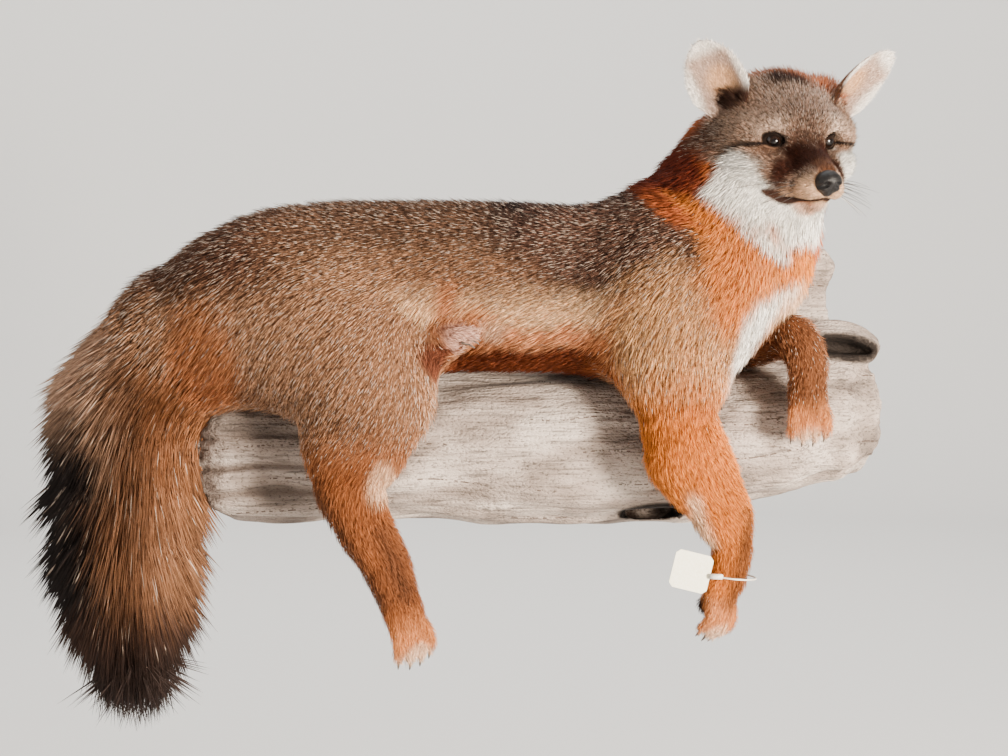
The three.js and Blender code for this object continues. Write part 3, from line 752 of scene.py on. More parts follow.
HEAD_REACH = 92
HEAD_MIDDLE = from_head((-8, 0, -10))
head_near = near_only(head_field, HEAD_MIDDLE, HEAD_REACH)


def skin_field(p):
    torso = blend(torso_field(p), head_near(p), HEAD_BLEND)
    return blend(torso, paws_field(p), TO_PAWS_BLEND)


print("fields of the torso, legs, paws and head are ready")

# %% [markdown]
# ## From a field to a mesh
#
# OpenVDB, which ships with Blender, turns a grid of distances into quads. The grid is coarse, as
# most of the skin is hidden, so the faces on the head and paws are cut finer afterwards, and every
# vertex is settled on the field again. A single fine grid would give ten times the faces.

# %% Mesh helpers
BLOCK = 4  # cells to a side of the blocks that are first looked at
NEAR_BLOCKS = 2.2  # how many blocks from the surface the exact distances are worked out


def grid_mesh(field, low, high, cell):
    """Vertices and quads of the surface where a field is zero."""
    low = np.array(low, float)
    counts = np.ceil((np.array(high) - low) / (BLOCK * cell)).astype(int) + 1
    blocks = np.stack(np.meshgrid(*[np.arange(n) for n in counts], indexing="ij"), -1)
    middles = low + (blocks.reshape(-1, 3) * BLOCK + (BLOCK - 1) / 2) * cell
    values = field(middles).reshape(counts)
    for axis in range(3):
        values = values.repeat(BLOCK, axis)
    near = np.argwhere(np.abs(values) < NEAR_BLOCKS * BLOCK * cell)
    values[tuple(near.T)] = field(low + near * cell)
    grid = openvdb.FloatGrid()
    grid.copyFromArray(values.astype(np.float32))
    points, quads = grid.convertToQuads(0.0)
    return low + np.array(points, float) * cell, np.array(quads, int)


def write_mesh(name, points, faces):
    """A mesh in metres from points in millimetres."""
    mesh = bpy.data.meshes.new(name)
    rows = [list(map(int, face)) for face in faces]
    mesh.from_pydata((np.asarray(points) * MM).tolist(), [], rows)
    mesh.update()
    mesh.shade_smooth()
    return mesh


def read_all(items, key, width=1, kind=float):
    """One property of all the vertices, edges or faces of a mesh."""
    flat = np.empty(len(items) * width, kind)
    items.foreach_get(key, flat)
    return flat if width == 1 else flat.reshape(-1, width)


def read_points(mesh):
    return read_all(mesh.vertices, "co", 3) / MM


def write_points(mesh, points):
    mesh.vertices.foreach_set("co", (points * MM).ravel())
    mesh.update()


def store(mesh, name, kind, values):
    """Writes an attribute with a value for each vertex."""
    attribute = mesh.attributes.new(name, kind, "POINT")
    key = {"FLOAT": "value", "FLOAT_VECTOR": "vector", "FLOAT_COLOR": "color"}[kind]
    attribute.data.foreach_set(key, np.ascontiguousarray(values, dtype=np.float32).ravel())


def add_piece(name, mesh, slot, material=None):
    if material:
        mesh.materials.append(material)
    piece = add_object(name, mesh)
    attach(piece, BODY)
    return piece


@contextlib.contextmanager
def opened(mesh):
    """Opens a mesh for edits to its edges and faces, and writes it back."""
    work = bmesh.new()
    work.from_mesh(mesh)
    yield work
    work.to_mesh(mesh)
    work.free()


def turn_out(mesh):
    """Points every face of a closed mesh outwards."""
    with opened(mesh) as work:
        bmesh.ops.recalc_face_normals(work, faces=work.faces)


def cut_finer(mesh, wanted):
    """Halves the edges whose middle the test picks."""
    with opened(mesh) as work:
        middles = np.array([((e.verts[0].co + e.verts[1].co) / 2)[:] for e in work.edges]) / MM
        edges = [edge for edge, pick in zip(work.edges, wanted(middles)) if pick]
        bmesh.ops.subdivide_edges(work, edges=edges, cuts=1, use_grid_fill=True)
        bmesh.ops.triangulate(work, faces=[face for face in work.faces if len(face.verts) > 4])


def relax(points, pairs, amount):
    """Moves each point towards the middle of its neighbours."""
    count = np.bincount(pairs.ravel(), minlength=len(points))[:, None]
    total = np.zeros_like(points)
    np.add.at(total, pairs[:, 0], points[pairs[:, 1]])
    np.add.at(total, pairs[:, 1], points[pairs[:, 0]])
    return points + (total / np.maximum(count, 1) - points) * amount


def evaluated_mesh(holder):
    """The mesh of an object with its modifiers carried out."""
    depsgraph = bpy.context.evaluated_depsgraph_get()
    return bpy.data.meshes.new_from_object(holder.evaluated_get(depsgraph))


print("mesh helpers are ready")

# %% Mesh the skin
SKIN_CELL = 4.0
SKIN_BOX = (-370, -172, -216), (290, -8, 300)
RELAX_ROUNDS, RELAX_AMOUNT = 3, 0.35


def face_zone(p):
    q = to_head(p)
    return (np.linalg.norm((q - (8, 0, -14)) / (62, 48, 44), axis=1) < 1) & (q[:, 0] > -30)


def fine_zone(p):
    """Round the eyes and along the mouth."""
    q = mirrored(to_head(p))
    by_eye = np.linalg.norm(q - EYE - eye_out * SOCKET_OUT, axis=1) < 13
    by_mouth = (mouth_line(q) < 4.5) & (q[:, 0] > 10)
    return by_eye | by_mouth


def paw_zone(p):
    near = np.zeros(len(p), bool)
    for leg in LEGS.values():
        local = (p - np.array(leg["paw"]["at"])) @ paw_axes(leg["paw"]).T
        length = leg["paw"]["size"][0]
        near |= (local[:, 0] > length * 0.25) & (np.linalg.norm(local, axis=1) < length * 1.3)
    return near


def make_skin_mesh():
    points, quads = grid_mesh(skin_field, *SKIN_BOX, SKIN_CELL)
    mesh = write_mesh("skin", points, quads)
    for wanted in (lambda p: face_zone(p) | paw_zone(p), fine_zone):
        write_points(mesh, settle(read_points(mesh), skin_field, 2))
        cut_finer(mesh, wanted)
    pairs = read_all(mesh.edges, "vertices", 2, int)
    points = read_points(mesh)
    for _ in range(RELAX_ROUNDS):
        points = relax(points, pairs, RELAX_AMOUNT)
        points = settle(points, skin_field, 2, 2.0)
    write_points(mesh, points)
    turn_out(mesh)
    return mesh


skin_mesh = make_skin_mesh()
print("skin:", len(skin_mesh.vertices), "vertices,", len(skin_mesh.polygons), "faces")

# %% [markdown]
# ## The ears
#
# A fox's ear is a thin leaf of gristle, curled round its own axis like a scoop. Each ear is drawn
# as a grid, with an outer and an inner layer that meet at the rim, and then united with the head by
# a boolean, so that skin and ears are one closed mesh.

# %% Ear leaves
LEFT, RIGHT = 1, -1  # the sign of Y on that side of the head
EAR_ROOT = np.array([-34.0, 48.0, 14.0])
EAR_UP = np.array([-0.1, 0.5, 0.86]) / np.linalg.norm([-0.1, 0.5, 0.86])
EAR_ACROSS = np.cross(EAR_UP, [0.84, 0.54, -0.05])
EAR_ACROSS /= np.linalg.norm(EAR_ACROSS)
EAR_FACING = np.cross(EAR_ACROSS, EAR_UP)
EAR_LENGTH, EAR_WIDTH, EAR_CURL = 58.0, 53.0, 1.15
EAR_ROWS, EAR_COLUMNS = 34, 26
EAR_SINK = 0.16  # how much of the leaf's length stands in the head
LEFT_EAR_LEAN = 0.17  # the left ear leans further out, and stands a little higher
LEFT_EAR_SHIFT = np.array([0.0, -6.5, 5.0])
LEAN_COS, LEAN_SIN = math.cos(LEFT_EAR_LEAN), math.sin(LEFT_EAR_LEAN)
LEAN = np.array([[1, 0, 0], [0, LEAN_COS, -LEAN_SIN], [0, LEAN_SIN, LEAN_COS]])


def ear_point(along, across, layer):
    """A point of the left ear. Along runs from root to tip, across from -1 to 1, layer 0 or 1."""
    reach = max(along, 0.0)
    width = (EAR_WIDTH / 2 - 1) * math.sqrt(max(0.0, 1 - reach**3.0))
    width *= 0.82 + 0.18 * math.sin(math.pi * reach)
    width *= 0.5 + 0.5 * math.sin(math.pi / 2 * min(1.0, (along + EAR_SINK) / 0.42))
    width = max(width, 0.6)
    curl = EAR_CURL * (1 - 0.62 * reach)
    turn = curl * across
    rim = min(1.0, (1 - abs(across)) * 5, (1 - along) * 8)  # 0 at the rim, where the layers meet
    radius = width / math.sin(curl)
    outward = radius - 1.0 - layer * (0.25 + 1.9 * rim * (1.3 - 0.6 * reach))
    fold = 2.4 * math.exp(-(((across - 0.55) / 0.12) ** 2)) * max(0.0, 0.5 - reach) * (1 - layer)
    sweep = -9 * reach * reach * (1 - reach)
    return (
        EAR_ROOT
        + EAR_UP * along * EAR_LENGTH
        + EAR_ACROSS * (outward - fold) * math.sin(turn)
        + EAR_FACING * (radius * math.cos(curl) - (outward - fold) * math.cos(turn) + 6 + sweep)
    )


def ear_mesh(side):
    points = []
    for layer in (0, 1):
        for row in range(EAR_ROWS + 1):
            along = -EAR_SINK + (1 + EAR_SINK) * (row / EAR_ROWS) ** 0.92
            for column in range(EAR_COLUMNS + 1):
                points.append(ear_point(along, 2 * column / EAR_COLUMNS - 1, layer))
    points = np.array(points)
    if side == LEFT:
        points = (points - EAR_ROOT) @ LEAN + EAR_ROOT + LEFT_EAR_SHIFT
    else:
        points = points * (1, -1, 1)
    wide = EAR_COLUMNS + 1
    inner = (EAR_ROWS + 1) * wide
    faces = []
    for row in range(EAR_ROWS):
        for column in range(EAR_COLUMNS):
            a = row * wide + column
            faces.append((a, a + 1, a + 1 + wide, a + wide))
            faces.append((inner + a, inner + a + wide, inner + a + 1 + wide, inner + a + 1))
    rim = [*range(EAR_COLUMNS), *(EAR_COLUMNS + row * wide for row in range(EAR_ROWS))]
    rim += [EAR_ROWS * wide + column for column in range(EAR_COLUMNS, 0, -1)]
    rim += [row * wide for row in range(EAR_ROWS, 0, -1)]
    faces += [(b, a, a + inner, b + inner) for a, b in zip(rim, [*rim[1:], rim[0]])]
    mesh = write_mesh("ear", from_ears(points), faces)
    turn_out(mesh)
    return mesh


def united(mesh, others):
    """One mesh of several closed ones that overlap."""
    holder = add_object("union", mesh)
    helpers = [add_object("part", other) for other in others]
    for helper in helpers:
        modifier = holder.modifiers.new("union", "BOOLEAN")
        modifier.operation = "UNION"
        modifier.solver = "MANIFOLD"
        modifier.object = helper
    result = evaluated_mesh(holder)
    for item in (holder, *helpers):
        bpy.data.objects.remove(item)
    return result


skin_mesh = united(skin_mesh, [ear_mesh(LEFT), ear_mesh(RIGHT)])
skin_mesh.name = "skin"
skin_mesh.shade_smooth()
print("skin with ears:", len(skin_mesh.vertices), "vertices,", len(skin_mesh.polygons), "faces")

# %% [markdown]
# ## The lie of the coat
#
# Hair grows away from the nose: back over the face, down the neck, along the trunk to the tail and
# down the legs to the toes. Each chain of joints gives the skin round it a direction, and where two
# chains meet their directions mix. The coat's depth, how steeply it rises, and the width of its
# tufts are mixed in the same way. Combing by hand would look as good, but could not be repeated.

# %% Chains that guide the coat
def end_of_paw(paw):
    tip = np.array(paw["at"]) + paw_axes(paw)[0] * paw["size"][0]
    return (*tip, paw["size"][1] * 0.3)


def leg_chain(leg):
    return Limb([*leg["upper"], *leg["lower"][1:], end_of_paw(leg["paw"])])


# Each coat has, from its start to its end: depth, rise in degrees, and width of the tufts.
FORE_COAT = (6, 5, 3.5, 3, 2.4, 1.5), (23, 18, 15), (0.48, 0.44, 0.36)
HIND_COAT = (6.5, 6, 4, 3.5, 2.6, 1.5), (23, 19, 15), (0.5, 0.46, 0.36)
FAR_HIND_COAT = (6, 4, 2.6, 1.8, 1.1), (20, 16, 14), (0.48, 0.42, 0.32)
TAIL_COAT = (11, 28, 42, 45, 38, 18, 12, 8), (28, 36, 41, 40, 33, 15, 10, 8), (0.34, 0.32)
CHAINS = {
    "trunk": (Limb(TRUNK[::-1]), (6, 6.5), (23, 24), (0.48, 0.52)),
    "neck": (Limb(NECK[::-1]), (7, 8), (25, 24), (0.42, 0.5)),
    "tail": (Limb(TAIL), *TAIL_COAT),
    "foreleg_right": (leg_chain(LEGS["foreleg_right"]), *FORE_COAT),
    "hindleg_right": (leg_chain(LEGS["hindleg_right"]), *HIND_COAT),
    "foreleg_left": (leg_chain(LEGS["foreleg_left"]), *FORE_COAT),
    "hindleg_left": (leg_chain(LEGS["hindleg_left"]), *FAR_HIND_COAT),
}
HAUNCH_LIE = np.array([-0.5, 0.0, -0.85])  # over the haunch the hair runs down and back
MIX_WIDTH = 14.0  # how gradually one chain's direction gives way to the next


def soft(value, low, high):
    """0 at low, 1 at high, and smooth between; low may be the larger."""
    share = np.clip((value - low) / (high - low), 0, 1)
    return share * share * (3 - 2 * share)


def spread(values, along):
    return np.interp(along, np.linspace(0, 1, len(values)), values)


def unit(v):
    return v / np.maximum(np.linalg.norm(v, axis=1), 1e-9)[:, None]


skin_points = read_points(skin_mesh)
skin_normals = read_all(skin_mesh.vertices, "normal", 3)
head_points = to_head(skin_points)
mirror_points = mirrored(head_points)
head_distance = head_near(skin_points)
print(len(CHAINS), "chains guide the coat")

# %% Which skin is ear
on_left = (head_points[:, 1] > 0)[:, None]


def to_one_ear(vectors, left):
    """Directions in the ears' frame, turned as if each ear were an upright left one."""
    return np.where(left, vectors @ LEAN.T, vectors * (1, -1, 1))


def offset_from_ear_root(p, left):
    """Where points lie from the root of their own ear, turned in the same way."""
    q = to_ears(p)
    offset = np.where(left, q - EAR_ROOT - LEFT_EAR_SHIFT, q - EAR_ROOT * (1, -1, 1))
    return to_one_ear(offset, left)


ear_offset = offset_from_ear_root(skin_points, on_left)
ear_along = ear_offset @ EAR_UP / EAR_LENGTH
ear_across = ear_offset @ EAR_ACROSS / (EAR_WIDTH / 2)
near_ear = np.linalg.norm(ear_offset - EAR_UP * EAR_LENGTH * 0.5, axis=1) < EAR_LENGTH * 0.75
on_ear = near_ear & (head_distance > 1.2) & (ear_along > -0.1)
facing = to_one_ear(skin_normals @ EAR_AXES.T, on_left) @ EAR_FACING
ear_inside = soft(facing, -0.15, 0.25) * on_ear
print("skin points on the ears:", int(on_ear.sum()))

# %% Comb the skin
WHISKER_TIP = (58, 0, -24)  # the face's hair runs away from here
DROOP = np.array([0, 0, -0.35])  # the trunk's hair also hangs a little
LENGTH_LIMITS = 2.5, 82
EAR_DEPTH, EAR_RISE, EAR_TUFT = 1.2, 14, 0.34


def comb():
    """The lie, depth, rise and width at each point, and the chain that each belongs to."""
    from_nose = unit(head_points - WHISKER_TIP) @ HEAD_AXES
    ahead, _, up = mirror_points.T
    face_depth = 1.1 + 2.6 * soft(ahead, 30, -6) + 4.0 * soft(ahead, -10, -46)
    face_depth += 5.0 * soft(up, -22, -46) * soft(ahead, 24, -20)
    face_rise = 13 + 16 * soft(ahead, 24, -36)
    face_width = 0.28 + 0.26 * soft(ahead, 30, -40)
    names, distances = ["head"], [head_distance - 3.0]
    rows = [(from_nose, face_depth, face_rise, face_width)]
    for name, (chain, depth, rise, width) in CHAINS.items():
        away, along, step = chain.nearest(skin_points)
        if name.startswith("hindleg"):
            over_haunch = soft(along, 0.62, 0.36)[:, None]
            step = unit(step * (1 - over_haunch) + over_haunch * HAUNCH_LIE)
        names.append(name)
        distances.append(away + spread(depth, along))
        rows.append((step, spread(depth, along), spread(rise, along), spread(width, along)))
    distances = np.array(distances)
    weights = np.exp(-(distances - distances.min(0)) / MIX_WIDTH)
    weights /= weights.sum(0)
    lie = sum(w[:, None] * row[0] for w, row in zip(weights, rows))
    depth, rise, width = (sum(w * row[n] for w, row in zip(weights, rows)) for n in (1, 2, 3))
    return lie, depth, rise, width, np.array(names)[distances.argmin(0)]


lie, depth, rise, tuft_width, belongs = comb()
belongs[on_ear] = "ear"
in_head = (belongs == "head") | on_ear
lie = lie + DROOP * np.isin(belongs, ["trunk", "neck"])[:, None]
ear_fan = EAR_UP + EAR_ACROSS * 0.8 * ear_across[:, None]
ear_lie = np.where(on_left, unit(ear_fan) @ LEAN, unit(ear_fan) * (1, -1, 1)) @ EAR_AXES
lie = np.where(on_ear[:, None], ear_lie, lie)
lie = unit(lie - skin_normals * (lie * skin_normals).sum(1)[:, None])
depth = np.where(on_ear, EAR_DEPTH, depth)
rise = np.where(on_ear, EAR_RISE, rise)
tuft_width = np.where(on_ear, EAR_TUFT, tuft_width)
tuft_length = np.clip(depth / np.sin(np.radians(rise)), *LENGTH_LIMITS)

# Tufts shorten towards the lids and the lips, so that none crosses the eye or the mouth.
from_eye = np.linalg.norm(mirror_points - EYE, axis=1)
lid_reach = np.where(from_eye < 24, lid_gap(mirror_points), 99)
tuft_length = np.minimum(tuft_length, 1.5 + 0.75 * np.maximum(lid_reach - 1.5, 0))
lip_reach = np.where(mirror_points[:, 0] > 8, mouth_line(mirror_points), 99)
tuft_length = np.minimum(tuft_length, 1.6 + 0.7 * np.maximum(lip_reach - 1, 0))
tuft_length = np.where(on_ear, 2.6 + 2 * ear_inside, tuft_length)
print("coat length from", round(tuft_length.min(), 1), "to", round(tuft_length.max(), 1), "mm")

# %% [markdown]
# ## The markings
#
# A gray fox is grizzled: its long hairs are banded white and tipped black over a brown ground. The
# neck, flanks and legs are rust, the throat and cheeks white, and a black stripe runs down the
# tail. The markings are painted as a maker paints a model, with soft round brushes: first the
# ground colour, then patch over patch. Each brush sets the colour at the hair's root and at its
# tip, and how much of the coat there is banded. Skin and tufts read the same paint.

# %% Brushes
fine = np.array([noise.noise(Vector(p * 0.09)) for p in skin_points])  # makes edges ragged
root_paint = np.zeros((len(skin_points), 3))
tip_paint = np.zeros((len(skin_points), 3))
banding = np.zeros(len(skin_points))


def linear(colour):
    """A colour as a painter names it, 0 to 255, as light for the shader."""
    c = np.array(colour, float) / 255
    return np.where(c <= 0.04045, c / 12.92, ((c + 0.055) / 1.055) ** 2.4)


def paint(mask, root, tip, band=0.0):
    """Lays a colour for the hair's root and one for its tip, and how much of it is banded."""
    mask = np.clip(mask, 0, 1)[:, None]
    root_paint[:] = root_paint * (1 - mask) + linear(root) * mask
    tip_paint[:] = tip_paint * (1 - mask) + linear(tip) * mask
    banding[:] = banding * (1 - mask[:, 0]) + band * mask[:, 0]


def spot(points, centre, radii, edge=0.35):
    """A round brush: 1 in the middle of an ellipsoid and 0 outside it."""
    away = np.linalg.norm((points - centre) / radii, axis=1) + 0.22 * edge * fine * 3
    return soft(away, 1 + edge, 1 - edge)


def stroke(points, joints, edge=4.0):
    """A brush drawn along joints (x, y, z, radius)."""
    return soft(Limb(joints, 3).nearest(points)[0] + 3 * fine, edge, -edge)


x, y, z = (skin_points + 7 * fine[:, None]).T
body_mask = ~in_head
print("brushes for", len(skin_points), "skin points")

# %% Paint the trunk
GROUND = (106, 72, 51), (188, 138, 103)
DARK = (30, 21, 20), (62, 45, 40)
BUFF = (222, 168, 126), (255, 218, 170)
RUST = (162, 82, 30), (222, 132, 54)
RUST_LEG = (114, 62, 33), (164, 98, 55)
# The nape's own rust, darkened with painted shade.
RUST_IN_SHADE = (58, 18, 10), (106, 42, 22)
WHITE = (236, 230, 220), (250, 247, 240)
CREAM = (206, 158, 122), (236, 196, 160)
BLACK = (22, 17, 16), (32, 25, 23)
BROWN = (58, 32, 20), (104, 64, 42)


def front_stroke(joints, edge=4.0):
    """A brush drawn on the side that faces the room, along joints (x, z, radius)."""
    flat = [(jx, 0, jz, radius) for jx, jz, radius in joints]
    return stroke(skin_points * (1, 0, 1), flat, edge) * soft(skin_points[:, 1], -88, -106)


paint(np.ones(len(x)), *GROUND, 0.55)
paint(spot(skin_points, (-200, -130, 106), (95, 60, 90)), (114, 78, 57), (196, 148, 112), 0.4)
dorsal = soft(z, 128, 166) * soft(x, 156, 116) * (0.6 * soft(x, -250, -150) + 0.4 * soft(x, -60, 10))
paint(np.minimum(dorsal * 1.15, 1), *DARK, 0.38)
# Painted shade: the top of the haunch and rump is painted a darker grizzle.
paint(soft(x, -130, -230) * soft(z, 92, 140) * body_mask, (56, 35, 26), (108, 74, 56), 0.45)
paint(spot(skin_points, (66, -120, 150), (80, 60, 46)), (60, 40, 33), (118, 84, 68), 0.5)
flank = soft(x, -135, -100) * soft(x, 84, 50) * (belongs == "trunk")
paint(soft(z, 132, 104) * flank, *BUFF, 0.22)
paint(soft(z, 100, 88) * flank, (196, 122, 76), (236, 170, 122), 0.03)
# Painted shade: the underside of the belly, where it meets the log, is painted a dark red-brown.
paint(soft(z, 85, 75) * flank, (64, 26, 13), (116, 56, 28))
groin = front_stroke([(-66, 124, 6), (-72, 100, 9), (-74, 74, 8)], 8)
paint(groin, (170, 104, 62), (214, 148, 104), 0.05)
armpit = front_stroke([(62, 106, 8), (52, 84, 9), (56, 62, 8)], 9)
paint(armpit, (150, 76, 34), (204, 122, 70), 0.05)
paint(spot(skin_points, (98, -150, 84), (48, 40, 56)), (172, 118, 78), (236, 182, 128), 0.28)
paint(spot(skin_points, (-252, -128, 70), (30, 50, 50)), (140, 82, 48), (196, 130, 86), 0.15)
paint(soft(y, -60, -30) * soft(z, 150, 110) * body_mask, *BUFF, 0.2)
print("trunk painted, mean colour now", np.round(tip_paint.mean(0), 3))

# %% Paint the neck and chest
neck_away = CHAINS["neck"][0].nearest(skin_points)[0]
neck_edge = np.interp(z, [118, 145, 172, 198], [150, 136, 112, 84])
on_neck = soft(neck_away, 24, 12) * soft(x - neck_edge, -8, 12)
paint(on_neck * soft(z, 88, 112), *RUST, 0.03)
# Painted shade on the nape: its rust is painted much darker.
paint(spot(skin_points, (136, -56, 206), (40, 60, 44)), *RUST_IN_SHADE)
paint(spot(skin_points, (150, -150, 132), (34, 34, 44)), (176, 98, 44), (228, 146, 76))
breast = [(193, 126, 7), (174, 114, 8), (161, 97, 9), (154, 73, 8), (146, 50, 6)]
paint(front_stroke(breast, 5), *WHITE)
paint(spot(skin_points, (184, -96, 116), (26, 30, 34), 0.3), *CREAM)
print("neck and chest painted, mean colour now", np.round(tip_paint.mean(0), 3))

# %% Paint the legs
FAR_LEG = (88, 48, 27), (138, 88, 56)
NEAR_LEGS = {"foreleg_right": RUST, "hindleg_right": RUST_LEG}
LEG_BEGINS = {
    "foreleg_right": soft(z, 84, 16),
    "hindleg_right": soft(z, 34, -22),
    "foreleg_left": soft(x, 134, 150),
    "hindleg_left": soft(x, -104, -92) * soft(y, -100, -112),
}
for name, low in LEG_BEGINS.items():
    on_leg = soft(CHAINS[name][0].nearest(skin_points)[0], 10, 0)
    band = 0.0 if name in NEAR_LEGS else 0.12
    paint(on_leg * low * body_mask, *NEAR_LEGS.get(name, FAR_LEG), band)
    paw = LEGS[name]["paw"]
    axes, at = paw_axes(paw), np.array(paw["at"], float)
    foot = spot(skin_points, at + axes[0] * 36, (22, 22, 22), 0.4)
    paint(foot, (168, 96, 50), (222, 146, 90), 0.03)
    toes = spot(skin_points, at + axes[0] * 49, (17, 19, 14), 0.3)
    paint(toes, (214, 168, 134), (246, 212, 182))
    if name == "hindleg_left":  # the foot that peeps out shows its sole
        sole = spot(skin_points, at + (0, 0, -14), (26, 24, 13), 0.3)
        paint(sole, (70, 36, 24), (112, 62, 42))
        pads = spot(skin_points, at + axes[0] * 24, (17, 20, 13), 0.3)
        paint(pads, (136, 96, 82), (202, 160, 142))
        continue
    local = (skin_points - at) @ axes.T
    length, width = paw["size"]
    under = soft(local[:, 2], -0.1 * width, -0.24 * width)
    under = under * soft(local[:, 0], 0.3 * length, 0.4 * length)
    under = under * (np.linalg.norm(local, axis=1) < length * 1.4)
    paint(under, (38, 26, 22), (60, 42, 34))

LEG_STROKES = [  # joints (x, z, radius), edge, strength and colour
    ([(152, -44, 4), (153, -66, 7), (152, -90, 8), (144, -114, 7)], 7, 0.75, BROWN),
    ([(109, -34, 4), (118, -56, 5), (126, -72, 4)], 5, 1, CREAM),
    ([(-122, -60, 5), (-112, -88, 9), (-104, -110, 8)], 8, 0.8, BROWN),
    ([(-168, -30, 7), (-150, -74, 9), (-126, -112, 9)], 8, 0.9, BROWN),
    ([(-118, -16, 7), (-124, -32, 6)], 5, 1, CREAM),
]
for joints, edge, strength, colours in LEG_STROKES:
    paint(front_stroke(joints, edge) * strength, *colours)
print("legs painted, mean colour now", np.round(tip_paint.mean(0), 3))

# %% Paint the tail
_, tail_along, _ = CHAINS["tail"][0].nearest(skin_points)
tail_x = np.interp(tail_along, np.linspace(0, 1, len(TAIL)), [joint[0] for joint in TAIL])
core = np.interp(tail_along * (len(TAIL) - 1), range(len(TAIL_CORE)), TAIL_CORE)
on_tail = (belongs == "tail").astype(float)
tail_side = (skin_points[:, 0] - tail_x) / core + 0.3 * fine
paint(on_tail, (84, 54, 38), (140, 98, 70), 0.06)
inner_side = soft(tail_side, 0.1, 0.9) * soft(tail_along, 0.4, 0.1)
paint(on_tail * inner_side, (96, 58, 34), (148, 96, 60), 0.04)
tail_top = soft(tail_side, 0.2, -0.4) * soft(z, -20, 20)
paint(on_tail * tail_top, (112, 80, 62), (192, 152, 124), 0.2)
paint(on_tail * soft(tail_side, 0.1, -0.4) * soft(z, 66, 20), *BLACK, 0.1)
paint(on_tail * soft(z, -70, -104), (96, 64, 45), (60, 42, 34), 0.03)
paint(on_tail * soft(z, -104, -132), (40, 28, 24), (52, 40, 36))
print("tail painted, mean colour now", np.round(tip_paint.mean(0), 3))

# %% Paint the face
def face(centre, radii, edge=0.35):
    """A round brush in the head's frame, the same on both sides."""
    return spot(mirror_points, np.array(centre, float), np.array(radii, float), edge)


def side_patch(corners, edge=2.5):
    """A brush with an outline in the head's X and Z, the same on both sides."""
    ragged = outline_distance(mirror_points[:, [0, 2]], corners) + 2.4 * fine
    return soft(ragged, edge, -edge) * (head_distance < 40)


SADDLE = [(6, -5), (8, -7), (14, -10), (21, -14), (22, -20), (26, -25), (32, -30), (35, -28)]
SADDLE += [(38, -20), (44, -13), (51, -9), (48, 0), (30, -1), (18, -4), (10, -4)]
WHITE_CHEEK = [(-4, -14), (1, -10), (11, -12), (18, -18), (23, -23), (29, -27), (31, -30)]
WHITE_CHEEK += [(27, -34), (31, -37), (36, -42)]
WHITE_THROAT = [(52, -44), (70, -50), (70, -76), (45, -79), (44, -67), (39, -57), (31, -51)]
WHITE_THROAT += [(20, -46), (10, -39), (2, -28)]
RUST_NAPE = [(-42, 2), (-28, -10), (-13, -21), (1, -32), (11, -40), (24, -48), (36, -58)]
RUST_NAPE += [(20, -90), (-90, -90), (-90, 2)]
paint(in_head * soft(mirror_points[:, 2], -40, -26), (78, 54, 44), (190, 156, 132), 0.55)
paint(side_patch(RUST_NAPE, 5), (120, 50, 24), (190, 100, 54))
# Painted shade on the nape behind the head: its rust is painted much darker.
paint(spot(skin_points, (112, -80, 214), (34, 60, 40)), *RUST_IN_SHADE)
paint(face((-56, 0, 22), (20, 52, 32)) * in_head, (120, 52, 26), (196, 106, 58), 0.1)
paint(face((-30, 0, 34), (11, 20, 9)), (30, 18, 13), (54, 34, 25), 0.05)
on_right = head_points[:, 1] < 0
paint(spot(head_points, (-42, 30, 32), (17, 30, 17), 0.4), (132, 62, 34), (200, 116, 70), 0.15)
# Painted shade: the root of the near ear, where its opening lies in shadow, is painted dark.
paint(face((-36, 41, 22), (10, 13, 13)) * on_right, (30, 18, 14), (52, 34, 27))
paint(face((2, 0, 12), (20, 16, 16), 0.7) * 0.7, (54, 36, 29), (120, 90, 74), 0.5)
paint(face((14, 0, -1), (12, 18, 7), 0.5) * 0.75, (46, 28, 21), (96, 62, 46), 0.3)
pale_brow = [(-27, 51, -1, 5), (-10, 37, 5, 5), (7, 21, 10, 4)]
paint(stroke(mirror_points, pale_brow, 6) * 0.85, (170, 138, 116), (238, 214, 192), 0.3)
paint(face((-30, 58, -8), (16, 14, 15), 0.5) * 0.85, (44, 30, 25), (118, 90, 74), 0.5)
paint(face((8, 30, -10), (10, 12, 6), 0.3), (104, 72, 54), (190, 150, 122), 0.3)
throat_width = soft(mirror_points[:, 0] + mirror_points[:, 1], 106, 96)
paint(side_patch(WHITE_CHEEK + WHITE_THROAT) * throat_width, *WHITE)
paint(face((20, 8, -56), (34, 24, 16), 0.25), *WHITE)
far_cheek = soft(head_points[:, 1], 22, 26) * spot(mirror_points, (14, 38, -22), (14, 16, 13), 0.2)
saddle = side_patch(SADDLE, 3.5) * (1 - soft(head_points[:, 1], 22, 27))
paint(saddle, (34, 14, 8), (72, 36, 21))
paint(far_cheek, *WHITE)
paint(face((50, 0, -28), (8, 20, 13), 0.3), (206, 164, 128), (236, 200, 166))
paint(face((40, 20, -35), (12, 9, 5), 0.3), (180, 138, 108), (222, 186, 154))
paint(face((50, 0, -10), (8, 10, 6), 0.4), (76, 46, 31), (116, 78, 56))
paint(face((40, 0, -43), (18, 16, 5), 0.3), (204, 164, 140), (234, 202, 180))
across_face = mirror_points @ (-0.46, 0.89, 0)
up_face = mirror_points @ (-0.21, -0.11, 0.97)
on_face = np.stack([across_face, up_face, np.zeros(len(x))], 1)
eye_line = [(25, -7.5, 0, 1.2), (29, -9, 0, 1.4), (37, -11.7, 0, 1.5)]
eye_line += [(46, -15.5, 0, 1.6), (52, -19.5, 0, 0.6)]
eye_line_paint = soft(Limb(eye_line, 3).nearest(on_face)[0], 1.3, -0.5) * (mirror_points[:, 1] > 20)
paint(eye_line_paint * (head_distance < 30) * (mirror_points[:, 0] > -34), (22, 15, 12), (30, 20, 16))
